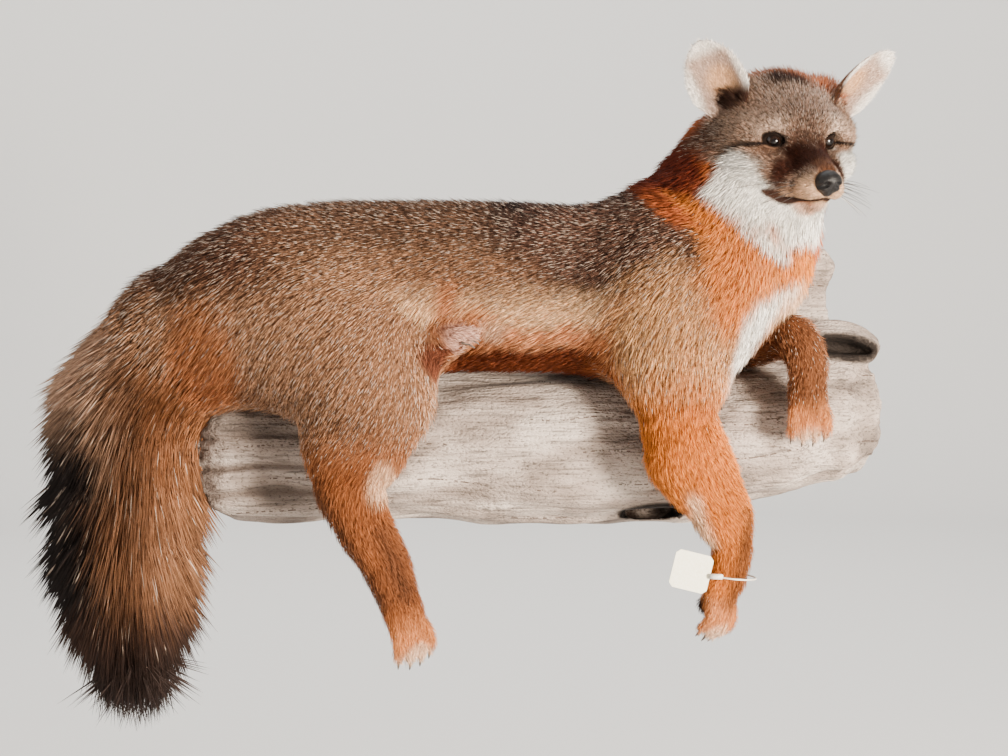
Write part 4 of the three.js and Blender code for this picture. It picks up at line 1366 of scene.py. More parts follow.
lid_paint = soft(from_eye, 13.5, 11.5) * soft(lid_gap(mirror_points), 4.0, 2.2)
paint(lid_paint, (16, 10, 7), (26, 17, 12))
lip_paint = soft(mouth_line(mirror_points), 2.4, 1.3) * soft(mirror_points[:, 0], 8, 16)
paint(lip_paint, (34, 22, 18), (44, 28, 22))
# Painted shade in the crease at the corner of the mouth.
paint(face((30, 30, -35), (8, 7, 4), 0.4), (58, 36, 28), (84, 56, 44))
print("face painted, mean colour now", np.round(tip_paint.mean(0), 3))

# %% Paint the ears
paint(on_ear * 1.0, (110, 64, 40), (150, 104, 74), 0.3)
paint(ear_inside, (150, 120, 104), (214, 188, 170), 0.1)
ear_rim = np.maximum(soft(np.abs(ear_across), 0.5, 0.8), soft(ear_along, 0.7, 0.9))
paint(ear_inside * ear_rim, (232, 222, 210), (255, 250, 244))
ear_heart = soft(np.hypot((ear_along - 0.34) / 0.26, (ear_across + 0.1) / 0.5), 1.3, 0.5)
paint(ear_inside * ear_heart * 0.75, (214, 160, 110), (230, 182, 136))
# Painted shade: the inner base of each ear, deep in its opening, is painted dark brown.
paint(ear_inside * soft(ear_along, 0.3, 0.1) * soft(ear_across, 0.3, -0.3), (44, 26, 20), (70, 46, 36))
# Painted shade before the near ear, where the ear's opening lies in shadow.
ear_opening_shade = in_head * ~on_ear * on_right * spot(ear_offset, (3, -6, 2), (12, 13, 16), 0.3)
paint(ear_opening_shade, (38, 23, 18), (66, 44, 34))
print("painted", len(root_paint), "skin points")

# %% [markdown]
# ## Finishes of skin and coat
#
# Both finishes read the paint from the mesh. The coat's finish also knows how far along its tuft a
# point lies and a number drawn for each tuft. With these it bands part of the tufts: pale in the
# middle and black at the tip, which is what makes a fox look grizzled.

# %% Skin finish
def skin_finish():
    finish = Finish("skin under the coat", 0.85, 0.06)
    root, tip = finish.read("root_paint", "Color"), finish.read("tip_paint", "Color")
    grain = finish.noise(900, 2)
    shade = finish.ramp(grain, [(0.3, 0.7), (0.7, 1.0)])
    finish.colour(finish.mix(1.0, finish.mix(0.35, root, tip), shade, "MULTIPLY"))
    finish.bump(grain, 0.5, 0.0006)
    return finish.material


print("the skin's finish reads root_paint and tip_paint")

# %% Coat finish
PALE_BAND = (0.56, 0.43, 0.34, 1)
BLACK_TIP = (0.022, 0.018, 0.018, 1)
BANDED_SHARE = 0.62  # of the tufts, where the paint is banded most
SECOND_DRAW = 7.31  # turns a tuft's number into a second one


def coat_finish():
    finish = Finish("coat", 0.6, 0.15)
    along, pick, banding = (finish.read(name) for name in ("along", "pick", "banding"))
    ground = finish.mix(
        finish.ramp(along, [(0.15, 0.0), (0.75, 1.0)]),
        finish.read("root_paint", "Color"),
        finish.read("tip_paint", "Color"),
    )
    lively = finish.math("FRACT", finish.times(pick, SECOND_DRAW))
    shade = finish.ramp(lively, [(0.0, 0.5), (0.5, 0.95), (1.0, 1.34)])
    ground = finish.mix(1.0, ground, shade, "MULTIPLY")
    clumps = finish.ramp(finish.noise(420, 2), [(0.37, 0.38), (0.61, 1.4)])
    grizzled = finish.math("MULTIPLY", banding, 2.2, clamp=True)
    ground = finish.mix(grizzled, ground, finish.mix(1.0, ground, clumps, "MULTIPLY"))
    banded = finish.math("LESS_THAN", pick, finish.times(banding, BANDED_SHARE))
    pale = finish.ramp(along, [(0.5, 0.0), (0.6, 1.0), (0.74, 1.0), (0.82, 0.0)])
    tip = finish.ramp(along, [(0.78, 0.0), (0.88, 1.0)])
    coat = finish.mix(finish.times(pale, banded), ground, PALE_BAND)
    finish.colour(finish.mix(finish.times(tip, banded), coat, BLACK_TIP))
    return finish.material


skin_material = skin_finish()
coat_material = coat_finish()
print("finishes:", skin_material.name, "and", coat_material.name)

# %% Finish the skin
WOOD_NODES = ("log", "log_stub")
APART = (*WOOD_NODES, "tag", "tag_loop", "eye_right", "eye_left", "nose")


def opaque(colours):
    return np.hstack([colours, np.ones((len(colours), 1))])


skin_mesh.materials.clear()
store(skin_mesh, "root_paint", "FLOAT_COLOR", opaque(root_paint))
store(skin_mesh, "tip_paint", "FLOAT_COLOR", opaque(tip_paint))
skin = add_piece("skin", skin_mesh, "coat_grizzled", skin_material)
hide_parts(*[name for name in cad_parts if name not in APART])
print("skin replaces", len(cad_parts) - len(APART), "nodes of flesh")

# %% [markdown]
# ## The coat
#
# A coat of single hairs would take many millions of faces. Here a tuft of some twenty hairs is one
# thin, pointed blade, three-sided and slightly arched, of six triangles, and a quarter of a million
# of them make a dense coat. Geometry Nodes scatter points over the skin, turn a blade at each one
# along the coat's lie, stretch it to the coat's length there, and realize the result. Particle hair
# would be quicker to set up, but it isn't a mesh.

# %% Tuft blade
WIDEST = 0.42  # how far up the blade is widest
ARCH, THICKNESS = 0.055, 0.018  # as shares of its length


def make_blade():
    """A closed three-sided blade along Z, of length 1 and width 1, that arches towards X."""
    lift = ARCH * 4 * WIDEST * (1 - WIDEST)
    ring = [(-THICKNESS / 2, -0.5), (-THICKNESS / 2, 0.5), (THICKNESS, 0)]
    points = [(0, 0, 0), *[(lift + dx, dy, WIDEST) for dx, dy in ring], (0, 0, 1)]
    faces = []
    for corner in (1, 2, 3):
        after = corner % 3 + 1
        faces += [(0, after, corner), (corner, after, 4)]
    mesh = bpy.data.meshes.new("blade")
    mesh.from_pydata(points, [], faces)
    store(mesh, "along", "FLOAT", [z for _, _, z in points])
    store(mesh, "patch", "FLOAT_VECTOR", [(0.5 + y, z, 0) for _, y, z in points])
    turn_out(mesh)
    return add_object("blade", mesh)


tuft_blade = make_blade()
print("a blade of", len(tuft_blade.data.polygons), "triangles")

# %% Trees that grow a mesh
class Growth(Nodes):
    """A Geometry Nodes tree with named inputs, which grows a mesh from an object's own."""

    def __init__(self, name, **inputs):
        super().__init__(bpy.data.node_groups.new(name, "GeometryNodeTree"))
        sockets = self.tree.interface
        for label, kind in {"Geometry": "Geometry", **inputs, "Finish": "Material"}.items():
            sockets.new_socket(label, in_out="INPUT", socket_type="NodeSocket" + kind)
        sockets.new_socket("Geometry", in_out="OUTPUT", socket_type="NodeSocketGeometry")
        self.given = self.add("NodeGroupInput").outputs

    def stored(self, name, kind="FLOAT"):
        """An attribute of the mesh."""
        node = self.add("GeometryNodeInputNamedAttribute", {"Name": name}, data_type=kind)
        return node.outputs["Attribute"]

    def vector(self, operation, **inputs):
        inputs = {int(key[1:]) if key[1:].isdigit() else key: v for key, v in inputs.items()}
        return self.add("ShaderNodeVectorMath", inputs, operation=operation).outputs["Vector"]

    def draw(self, kind, low, high, add):
        """A random value, from the tree's seed and a number of its own."""
        inputs = {"Seed": self.math("ADD", self.given["Seed"], add), "Min": low, "Max": high}
        return in_use(self.add("FunctionNodeRandomValue", inputs, data_type=kind).outputs)

    def end(self, geometry):
        """Makes the instances real, gives them the finish and closes the tree."""
        real = self.add("GeometryNodeRealizeInstances", {"Geometry": geometry})
        inputs = {"Geometry": real.outputs["Geometry"], "Material": self.given["Finish"]}
        done = self.add("GeometryNodeSetMaterial", inputs)
        self.add("NodeGroupOutput", {"Geometry": done.outputs["Geometry"]})

    def grow(self, holder, **inputs):
        """The mesh that the tree makes of an object."""
        modifier = holder.modifiers.new("grow", "NODES")
        modifier.node_group = self.tree
        for item in self.tree.interface.items_tree:
            if item.in_out == "INPUT" and item.name in inputs:
                modifier[item.identifier] = inputs[item.name]
        mesh = evaluated_mesh(holder)
        holder.modifiers.remove(modifier)
        return mesh


print("trees that grow a mesh are ready")

# %% Coat tree
DRAWS = {"ruffle": 11, "rise": 23, "length": 37, "width": 41, "pick": 53}  # added to the seed


def coat_tree():
    tree = Growth("lay the coat", Blade="Object", Seed="Int", Ruffle="Float")

    def varied(name, low, high):
        return tree.draw("FLOAT", low, high, DRAWS[name])

    def scaled(a, by):
        return tree.vector("SCALE", _0=a, Scale=by)

    inputs = {"Mesh": tree.given["Geometry"], "Density": tree.stored("density")}
    scatter = tree.add("GeometryNodeDistributePointsOnFaces", {**inputs, "Seed": tree.given["Seed"]})
    out = scatter.outputs["Normal"]
    any_way = tree.draw("FLOAT_VECTOR", (-1, -1, -1), (1, 1, 1), DRAWS["ruffle"])
    ruffle = scaled(any_way, tree.given["Ruffle"])
    ruffled = tree.vector("ADD", _0=tree.stored("lie", "FLOAT_VECTOR"), _1=ruffle)
    flat = tree.vector("NORMALIZE", _0=ruffled)
    rise = tree.times(tree.stored("rise"), varied("rise", 0.55, 1.3))
    upward, forward = scaled(out, tree.math("SINE", rise)), scaled(flat, tree.math("COSINE", rise))
    inputs = {"Primary Axis": tree.vector("ADD", _0=upward, _1=forward), "Secondary Axis": out}
    turn = tree.add("FunctionNodeAxesToRotation", inputs, primary_axis="Z", secondary_axis="X")
    length = tree.times(tree.stored("tuft_length"), varied("length", 0.62, 1.12))
    width = tree.times(tree.stored("tuft_width"), varied("width", 0.6, 1.25))
    size = tree.add("ShaderNodeCombineXYZ", {"X": length, "Y": width, "Z": length})
    place = tree.add("GeometryNodeInputPosition").outputs["Position"]
    points = scatter.outputs["Points"]
    kept = (("pick", "FLOAT", varied("pick", 0.0, 1.0)), ("root", "FLOAT_VECTOR", place))
    for name, kind, value in kept:
        inputs = {"Geometry": points, "Name": name, "Value": value}
        settings = {"data_type": kind, "domain": "POINT"}
        node = tree.add("GeometryNodeStoreNamedAttribute", inputs, **settings)
        points = node.outputs["Geometry"]
    shape = tree.add("GeometryNodeObjectInfo", {"Object": tree.given["Blade"]})
    inputs = {
        "Points": points,
        "Instance": shape.outputs["Geometry"],
        "Rotation": turn.outputs["Rotation"],
        "Scale": size.outputs["Vector"],
    }
    tree.end(tree.add("GeometryNodeInstanceOnPoints", inputs).outputs["Instances"])
    return tree


COAT_TREE = coat_tree()
print("coat tree:", len(COAT_TREE.tree.nodes), "nodes")

# %% [markdown]
# ## Coat pieces
#
# Each stretch of the coat is a piece of its own, so that none grows too heavy. A piece is laid by
# setting how dense the coat is on each part of the skin. Its map, OFBake, gives every tuft a small
# patch where its root stands on an unwrap of the skin: round and along the chain that it grows on.

# %% Density and unwrap
HEAD_MIDDLE_INSIDE = (-14, 0, -12)  # the head is unwrapped round this point


def corner_areas(mesh):
    """The area of skin that each vertex stands for, in square metres."""
    mesh.calc_loop_triangles()
    corners = read_all(mesh.loop_triangles, "vertices", 3, int)
    areas = read_all(mesh.loop_triangles, "area")
    total = np.zeros(len(mesh.vertices))
    np.add.at(total, corners.ravel(), np.repeat(areas / 3, 3))
    return total


def round_chain(chain, roots):
    """How far round a chain, and how far along it, each root stands: both 0 to 1."""
    _, along, step = chain.nearest(roots)
    places = np.arange(len(chain.at))
    reached = along * (len(places) - 1)
    middle = [np.interp(reached, places, chain.at[:, axis]) for axis in range(3)]
    out = roots - np.stack(middle, 1)
    first = unit(np.array([0.0, 1.0, 0.0]) - step * step[:, 1:2])
    second = np.cross(step, first)
    turn = np.arctan2((out * second).sum(1), (out * first).sum(1)) / (2 * math.pi) + 0.5
    return turn, along


def round_head(roots):
    q = to_head(roots) - HEAD_MIDDLE_INSIDE
    turn = np.arctan2(q[:, 1], q[:, 2]) / (2 * math.pi) + 0.5
    return turn, np.arccos(np.clip(q[:, 0] / np.linalg.norm(q, axis=1), -1, 1)) / math.pi


def round_ear(roots, outs):
    """Each ear has two tiles, one for its inner and one for its outer face."""
    left = to_head(roots)[:, 1] > 0
    offset = offset_from_ear_root(roots, left[:, None])
    inner = to_one_ear(outs @ EAR_AXES.T, left[:, None]) @ EAR_FACING > 0
    across = np.clip(offset @ EAR_ACROSS / EAR_WIDTH + 0.5, 0, 1)
    along = np.clip(offset @ EAR_UP / EAR_LENGTH * 0.85 + 0.1, 0, 1)
    return (left * 2 + inner + across) / 4, along


def unwrap(chains, roots):
    """Where roots lie on the map of a piece, which has a tile for each of its chains."""
    if chains == ["head"]:
        return np.stack(round_head(roots), 1)
    if chains == ["ear"]:
        return np.stack(round_ear(roots, slope_of(skin_field, roots)[1]), 1)
    away = np.array([CHAINS[name][0].nearest(roots)[0] for name in chains])
    which = away.argmin(0)
    laid = np.zeros((len(roots), 2))
    for tile, name in enumerate(chains):
        mine = which == tile
        if mine.any():
            turn, along = round_chain(CHAINS[name][0], roots[mine])
            laid[mine] = np.stack([(tile + turn) / len(chains), along], 1)
    return laid


store(skin_mesh, "banding", "FLOAT", banding)
store(skin_mesh, "lie", "FLOAT_VECTOR", lie)
store(skin_mesh, "rise", "FLOAT", np.radians(rise))
store(skin_mesh, "tuft_length", "FLOAT", tuft_length * MM)
store(skin_mesh, "tuft_width", "FLOAT", tuft_width * MM)
store(skin_mesh, "density", "FLOAT", np.zeros(len(skin_points)))
skin_areas = corner_areas(skin_mesh)
on_lids = (lid_gap(mirror_points) < 1.9) & (from_eye < EYE_RADIUS + 6)
on_lips = (mouth_line(mirror_points) < 1.3) & (mirror_points[:, 0] > 14)
on_nose = np.linalg.norm((head_points - (56, 0, -20)) / (9, 9, 9), axis=1) < 1
bare = on_lids | on_lips | on_nose
print("skin area", round(skin_areas.sum() * 1e4), "square cm")

# %% Lay a piece of the coat
PATCH = 0.003  # how wide a tuft's patch is on the map
RUFFLE = 0.16
CROWDING_POWER = -0.6  # how much closer small tufts stand
WALL_SIDE = -1.0  # hair on the far side is pressed flat before it reaches the wall
SPENT = ("root", "patch", "lie", "rise", "tuft_length", "tuft_width", "density")


def lay_coat(name, mask, tufts, chains, slot, seed):
    """Lays about that many tufts on the skin that the mask picks."""
    crowding = (tuft_width * tuft_length) ** CROWDING_POWER * mask * ~bare
    density = crowding * tufts / (crowding * skin_areas).sum()
    skin_mesh.attributes["density"].data.foreach_set("value", density.astype(np.float32))
    skin_mesh.update()
    mesh = COAT_TREE.grow(skin, Blade=tuft_blade, Seed=seed, Ruffle=RUFFLE, Finish=coat_material)
    mesh.name = name
    each = len(tuft_blade.data.vertices)
    roots = read_all(mesh.attributes["root"].data, "vector", 3)[::each] / MM
    patch = read_all(mesh.attributes["patch"].data, "vector", 3)[:, :2]
    flat_map = unwrap(chains, roots) * (1 - PATCH) + PATCH / 2
    corners = np.repeat(flat_map, each, 0) + (patch - 0.5) * PATCH
    corners = corners[read_all(mesh.loops, "vertex_index", 1, int)]
    bake_map = mesh.uv_layers.new(name="OFBake")
    bake_map.uv.foreach_set("vector", corners.astype(np.float32).ravel())
    points = read_points(mesh)
    points[:, 1] = np.minimum(points[:, 1], WALL_SIDE)
    write_points(mesh, points)
    for key in SPENT:
        if key in mesh.attributes:
            mesh.attributes.remove(mesh.attributes[key])
    mesh.shade_smooth()
    add_piece(name, mesh, slot)
    print(f"{name}: {len(roots)} tufts, {len(mesh.polygons)} triangles")

# %% Lay the whole coat
FACE_BACK = -12  # X in the head's frame behind which the face's coat ends
LOIN = -104, 24  # X where the haunch ends and the shoulders begin
TAIL_SPLIT = -30
FORE, HIND = ["foreleg_right", "foreleg_left"], ["hindleg_right", "hindleg_left"]
on_head, on_neck, in_tail = (belongs == name for name in ("head", "neck", "tail"))
is_face = mirror_points[:, 0] > FACE_BACK
is_trunk = (belongs == "trunk") | on_neck & (x < 110) & (z < 110)
upper_fore = np.isin(belongs, FORE) & (z > 44) & (x < 150)
upper_hind = np.isin(belongs, HIND) & (z > 8) & (x < -126)
lower_fore = np.isin(belongs, FORE) & ~upper_fore
lower_hind = np.isin(belongs, HIND) & ~upper_hind
haunch, loin, shoulders = x <= LOIN[0], (x <= LOIN[1]) & (x > LOIN[0]), x > LOIN[1]
COAT_PIECES = {  # where it lies, tufts, the chains under it and its slot
    "coat_face": (on_head & is_face, 31000, ["head"], "coat_grizzled"),
    "coat_head": (on_head & ~is_face, 21000, ["head"], "coat_grizzled"),
    "coat_ears": (belongs == "ear", 13000, ["ear"], "ear_lining"),
    "coat_neck": (on_neck & ~is_trunk, 22000, ["neck"], "coat_rust"),
    "coat_shoulders": (is_trunk & shoulders | upper_fore, 28000, ["trunk", *FORE], "coat_grizzled"),
    "coat_loin": (is_trunk & loin, 23000, ["trunk"], "coat_grizzled"),
    "coat_haunch": (is_trunk & haunch | upper_hind, 32500, ["trunk", *HIND], "coat_grizzled"),
    "coat_forelegs": (lower_fore, 18000, FORE, "coat_rust"),
    "coat_hindlegs": (lower_hind, 15000, HIND, "coat_rust"),
    "coat_tail_base": (in_tail & (z >= TAIL_SPLIT), 23000, ["tail"], "coat_tan"),
    "coat_tail_tip": (in_tail & (z < TAIL_SPLIT), 22000, ["tail"], "coat_black"),
}
for seed, (name, settings) in enumerate(COAT_PIECES.items(), 1):
    lay_coat(name, *settings, seed)
bpy.data.objects.remove(tuft_blade)

# %% [markdown]
# ## Eyes and nose
#
# Glass eyes are balls with a bulge in front, the cornea, and a dark iris painted behind a clear
# gloss. The nose is a leathery pad with two comma-shaped nostrils and a groove down its middle.
# Both are round enough to be drawn ray by ray from a centre, so one helper makes both.

# %% Shapes drawn from a centre
def star_mesh(name, centre, axes, reach, rings, sides):
    """A closed mesh whose radius is reach(directions). The poles lie along the first axis."""
    directions = [axes[0]]
    for ring in range(1, rings):
        tilt = math.pi * ring / rings
        for side in range(sides):
            turn = 2 * math.pi * side / sides
            flat = math.cos(turn) * axes[1] + math.sin(turn) * axes[2]
            directions.append(math.cos(tilt) * axes[0] + math.sin(tilt) * flat)
    directions.append(-axes[0])
    directions = np.array(directions)
    faces = []
    last = len(directions) - 1
    for side in range(sides):
        after = (side + 1) % sides
        faces.append((0, 1 + side, 1 + after))
        faces.append((last, last - sides + after, last - sides + side))
        for ring in range(rings - 2):
            a, b = 1 + ring * sides + side, 1 + ring * sides + after
            faces.append((a, a + sides, b + sides, b))
    mesh = write_mesh(name, centre + directions * reach(directions)[:, None], faces)
    turn_out(mesh)
    return mesh, directions


print("shapes drawn from a centre are ready")

# %% Eyes
GAZE_TURN = 0.22  # how far the gaze turns out from straight ahead
EYE_FORWARD = 1.2  # the glass stands a little proud of the frame's eye
GLASS_INSET = 0.1
CORNEA_RISE, CORNEA_WIDTH = 0.75, 0.52  # how far the bulge stands out, and its angle
PUPIL, IRIS, IRIS_RIM = (0.003, 0.002, 0.002), (0.011, 0.005, 0.003), (0.007, 0.004, 0.003)


def eye_finish():
    finish = Finish("glass eye", 0.06, 0.3)
    stops = [(0.0, PUPIL), (0.1, PUPIL), (0.13, IRIS), (0.19, IRIS_RIM), (0.22, PUPIL)]
    finish.colour(finish.ramp(finish.read("gaze"), stops))
    return finish.material


def make_eye(name, node, side, material):
    gaze = np.array([math.cos(GAZE_TURN), side * math.sin(GAZE_TURN), 0]) @ HEAD_AXES
    up = HEAD_AXES[2]
    axes = np.array([gaze, np.cross(up, gaze), up])
    centre = from_head(EYE * (1, side, 1) + eye_out * (1, side, 1) * EYE_FORWARD)

    def reach(directions):
        angle = np.arccos(np.clip(directions @ gaze, -1, 1))
        return EYE_RADIUS - GLASS_INSET + CORNEA_RISE * np.exp(-((angle / CORNEA_WIDTH) ** 2))

    mesh, directions = star_mesh(name, centre, axes, reach, 36, 48)
    store(mesh, "gaze", "FLOAT", np.arccos(np.clip(directions @ gaze, -1, 1)) / math.pi)
    piece = add_piece(name, mesh, "eye", material)
    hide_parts(node)


glass = eye_finish()
make_eye("eye_glass_right", "eye_right", RIGHT, glass)
make_eye("eye_glass_left", "eye_left", LEFT, glass)
print("two glass eyes")

# %% Nose
NOSE_MIDDLE = np.array([52.0, 0.0, -20.5])
NOSE_REACH, HALVINGS = 18.0, 14  # how far out the surface is looked for, and in how many steps
nose_solid = blend_all(
    [
        ball((56, 0, -18.2), (8, 8.8, 7.4)),
        ball((55, 5, -21), (8, 4.6, 6.2)),
        ball((53, 0, -26), (7.5, 5.4, 5.4)),
        ball((48, 0, -18), (7, 7.4, 6.5)),
    ],
    3,
)
nostril = Limb(
    [
        (64.5, 3.4, -19.2, 1.9),
        (62.5, 4.9, -20.2, 2.3),
        (59.5, 8.2, -22.2, 1.2),
        (57, 10.4, -22.6, 0.7),
    ],
    4,
)
nose_groove = Limb([(66, 0, -17, 0.55), (63.5, 0, -23, 0.75), (59, 0, -31, 0.8)], 3)


def nose_field(q):
    q = mirrored(q)
    pad = carve(nose_solid(q), nostril(q), 1.2)
    return carve(pad, nose_groove(q), 0.8)


def nose_reach(directions):
    """How far the nose's surface is from its middle, found by halving steps."""
    local = directions @ HEAD_AXES.T
    near, far = np.zeros(len(local)), np.full(len(local), NOSE_REACH)
    for _ in range(HALVINGS):
        middle = (near + far) / 2
        outside = nose_field(NOSE_MIDDLE + local * middle[:, None]) > 0
        far = np.where(outside, middle, far)
        near = np.where(outside, near, middle)
    return far


def nose_finish():
    finish = Finish("nose leather", 0.44, 0.22)
    place = finish.add("ShaderNodeTexCoord").outputs["Object"]
    pebbles = finish.add("ShaderNodeTexVoronoi", {"Vector": place, "Scale": 1400.0})
    stops = [(0.3, (0.004, 0.0036, 0.004)), (0.75, (0.012, 0.011, 0.011))]
    finish.colour(finish.ramp(finish.noise(260, 3), stops))
    finish.bump(pebbles.outputs["Distance"], 0.45, 0.0004)
    return finish.material


nose_mesh, _ = star_mesh("nose_pad", from_head(NOSE_MIDDLE), HEAD_AXES, nose_reach, 72, 84)
nose = add_piece("nose_pad", nose_mesh, "nose", nose_finish())
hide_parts("nose")
print("nose:", len(nose_mesh.polygons), "faces")

# %% [markdown]
# ## Claws, whiskers and the tag's loop
#
# These all follow a path and change their thickness along it. A path is drawn as a chain of points
# with a thickness at each, and one Geometry Nodes tree turns such paths into round closed rods.

# %% Rod tree
WELD = 0.00001  # closer corners than this, in metres, become one


def rod_tree():
    tree = Growth("rods along paths", Sides="Int")
    thickness = tree.stored("thickness")
    path = tree.add("GeometryNodeMeshToCurve", {"Mesh": tree.given["Geometry"]})
    inputs = {"Curve": path.outputs["Curve"], "Radius": thickness}
    path = tree.add("GeometryNodeSetCurveRadius", inputs)
    inputs = {"Resolution": tree.given["Sides"], "Radius": 1.0}
    ring = tree.add("GeometryNodeCurvePrimitiveCircle", inputs)
    inputs = {
        "Curve": path.outputs["Curve"],
        "Profile Curve": ring.outputs["Curve"],
        "Fill Caps": True,
    }
    swept = tree.add("GeometryNodeCurveToMesh", inputs)
    if "Scale" in swept.inputs:
        tree.tree.links.new(thickness, swept.inputs["Scale"])
    tree.end(swept.outputs["Mesh"])
    return tree


ROD_TREE = rod_tree()


def make_rods(name, paths, sides, material, slot, closed=False, **attributes):
    """Rods along paths of points (x, y, z, radius) in millimetres."""
    points, edges = [], []
    for path in paths:
        start = len(points)
        points += list(path)
        edges += [(i, i + 1) for i in range(start, len(points) - 1)]
        if closed:
            edges.append((len(points) - 1, start))
    points = np.array(points) * MM
    mesh = bpy.data.meshes.new(name)
    mesh.from_pydata(points[:, :3].tolist(), edges, [])
    for key, values in {"thickness": points[:, 3], **attributes}.items():
        store(mesh, key, "FLOAT", values)
    holder = add_object(name + " paths", mesh)
    rods = ROD_TREE.grow(holder, Sides=sides, Finish=material)
    bpy.data.objects.remove(holder)
    rods.name = name
    with opened(rods) as work:
        bmesh.ops.remove_doubles(work, verts=work.verts, dist=WELD)
        bmesh.ops.recalc_face_normals(work, faces=work.faces)
    rods.shade_smooth()
    add_piece(name, rods, slot)


print("rod tree:", len(ROD_TREE.tree.nodes), "nodes")

# %% Claws
CLAW_RADIUS = 1.55
CLAW_STEPS = 9
CLAW_ROOT, CLAW_LENGTH, CLAW_DROP = 6, 13, 6.5  # how far back it starts, its length and its hook
USUAL_PAW = 45  # the paw's length for which these measures hold


def claw_paths():
    for leg in LEGS.values():
        paw = leg["paw"]
        axes, at = paw_axes(paw), np.array(paw["at"], float)
        length, width = paw["size"]
        shrink = length / USUAL_PAW
        for side, reach, _ in toe_joints(paw):
            path = []
            for step in range(CLAW_STEPS + 1):
                share = step / CLAW_STEPS
                ahead = reach - CLAW_ROOT + CLAW_LENGTH * shrink * share
                local = (ahead, side * width * 1.06, -1.5 - CLAW_DROP * shrink * share**1.8)
                radius = CLAW_RADIUS * shrink * math.sqrt(1 - share**1.5 * 0.98)
                path.append((*(at + np.array(local) @ axes), radius))
            yield path


horn_stops = [(0.3, (0.03, 0.02, 0.016)), (0.75, (0.13, 0.095, 0.07))]
horn = speckled("horn", 0.32, 0.5, 300, 2, horn_stops, (0.2, 0.0003))
make_rods("claws", claw_paths(), 10, horn, "nose")
print(len(LEGS) * TOES, "claws")

# %% Whiskers
WHISKER_ROWS, WHISKERS_EACH, BROW_HAIRS = 3, 5, 2
WHISKER_STEPS, WHISKER_RADIUS = 8, 0.34
WHISKER_TAPER = 0.85  # how much of its thickness a whisker loses by its tip
DARK_SHARE = 0.95
SAG = np.array([-0.35, 0, -0.45])
PALE_HAIR, DARK_HAIR = (0.75, 0.72, 0.68, 1), (0.03, 0.022, 0.018, 1)


def whisker_finish():
    finish = Finish("whisker", 0.4, 0.4)
    finish.colour(finish.mix(finish.read("dark"), PALE_HAIR, DARK_HAIR))
    return finish.material


def whisker_roots(random):
    """Root, direction, length, side and darkness of each hair beside the muzzle and over the eyes."""
    for side in (RIGHT, LEFT):
        for row in range(WHISKER_ROWS):
            for n in range(WHISKERS_EACH):
                root = (43 - 4.2 * n - row, 11.5 + 0.8 * n, -24.5 - 3.6 * row - 0.4 * n)
                reach = (36 + 7 * n) * random.uniform(0.8, 1.15)
                way = (-0.02 - 0.1 * n, 1.0, -0.1 - 0.14 * row + random.uniform(-0.12, 0.12))
                yield root, way, reach, side, random.random() < DARK_SHARE
        for n in range(BROW_HAIRS):
            yield (1.0 - 3 * n, 15 + 3 * n, 9.5), (0.1 - 0.5 * n, 0.5, 0.9), 20 - 4 * n, side, True


def make_whiskers():
    random = np.random.default_rng(11)
    paths, dark = [], []
    for root, way, reach, side, is_dark in whisker_roots(random):
        way = np.array(way) / np.linalg.norm(way)
        sag = SAG * random.uniform(0.4, 1.0)
        path = []
        for step in range(WHISKER_STEPS + 1):
            share = step / WHISKER_STEPS
            local = root + way * reach * share + sag * reach * share**2 * 0.5
            radius = WHISKER_RADIUS * (1 - WHISKER_TAPER * share)
            path.append((*from_head(local * (1, side, 1)), radius))
            dark.append(float(is_dark))
        paths.append(path)
    make_rods("whiskers", paths, 5, whisker_finish(), "nose", dark=dark)
    return len(paths)


print(make_whiskers(), "whiskers")

# %% [markdown]
# ## Driftwood
#
# The base is a length of weathered log, flat where it meets the wall, hollow at one end and with
# the stump of a branch beside the hollow. Water has rounded it and worn the soft wood from between
# the hard rings, which leaves long low ridges along the grain. Log and stump are one field: a
# squarish bar with the frame's own sections and a board with the stump's outline, with a ball
# melted on as the hollow's rim, and the hollow and a notch under the log carved out. The ridges are
# then pushed into the mesh, and the finest grain is left to the finish.

# %% The log as a field
LOG_SECTIONS = np.array(
    [  # x, middle z, half height, depth
        (-282, -8, 47, 80),
        (-250, -6, 58, 94),
        (-120, -4, 61, 99),
        (0, -4, 63, 102),
        (110, -3, 64, 104),
        (190, 12, 58, 104),
        (240, 22, 56, 96),
        (268, 24, 48, 80),
        (281, 24, 36, 58),
    ],
    float,
)
LOG_SQUARENESS = 2.6  # 2 would be round, and a large number square
LOG_END = 14  # how widely the ends are rounded
STUB_OUTLINE = [(150, 44), (276, 44), (280, 84), (264, 98), (247, 104)]
STUB_OUTLINE += [(247, 150), (242, 165), (222, 160), (196, 112), (158, 92)]
STUB_DEPTH, STUB_EDGE = 26, 6


def log_bar(p):
    rows = LOG_SECTIONS
    right = np.clip(np.searchsorted(rows[:, 0], p[:, 0]), 1, len(rows) - 1)
    share = soft(p[:, 0], rows[right - 1, 0], rows[right, 0])[:, None]
    middle, half, deep = (rows[right - 1, 1:] * (1 - share) + rows[right, 1:] * share).T
    up = p[:, 2] - middle
    power = LOG_SQUARENESS
    size = (np.abs(up / half) ** power + np.abs(p[:, 1] / deep) ** power) ** (1 / power)
    side = np.hypot(up, p[:, 1]) * (1 - 1 / np.maximum(size, 1e-3))
    ends = np.abs(p[:, 0] - (rows[0, 0] + rows[-1, 0]) / 2) - (rows[-1, 0] - rows[0, 0]) / 2
    return carve(side, -ends, LOG_END)


def board(outline, deep, edge):
    """A board that stands at the wall with that outline in X and Z, and rounded edges."""

    def field(p):
        flat = outline_distance(p[:, [0, 2]], outline) + edge
        front = -p[:, 1] - deep + edge
        outside = np.hypot(np.maximum(flat, 0), np.maximum(front, 0))
        return outside + np.minimum(np.maximum(flat, front), 0) - edge

    return field


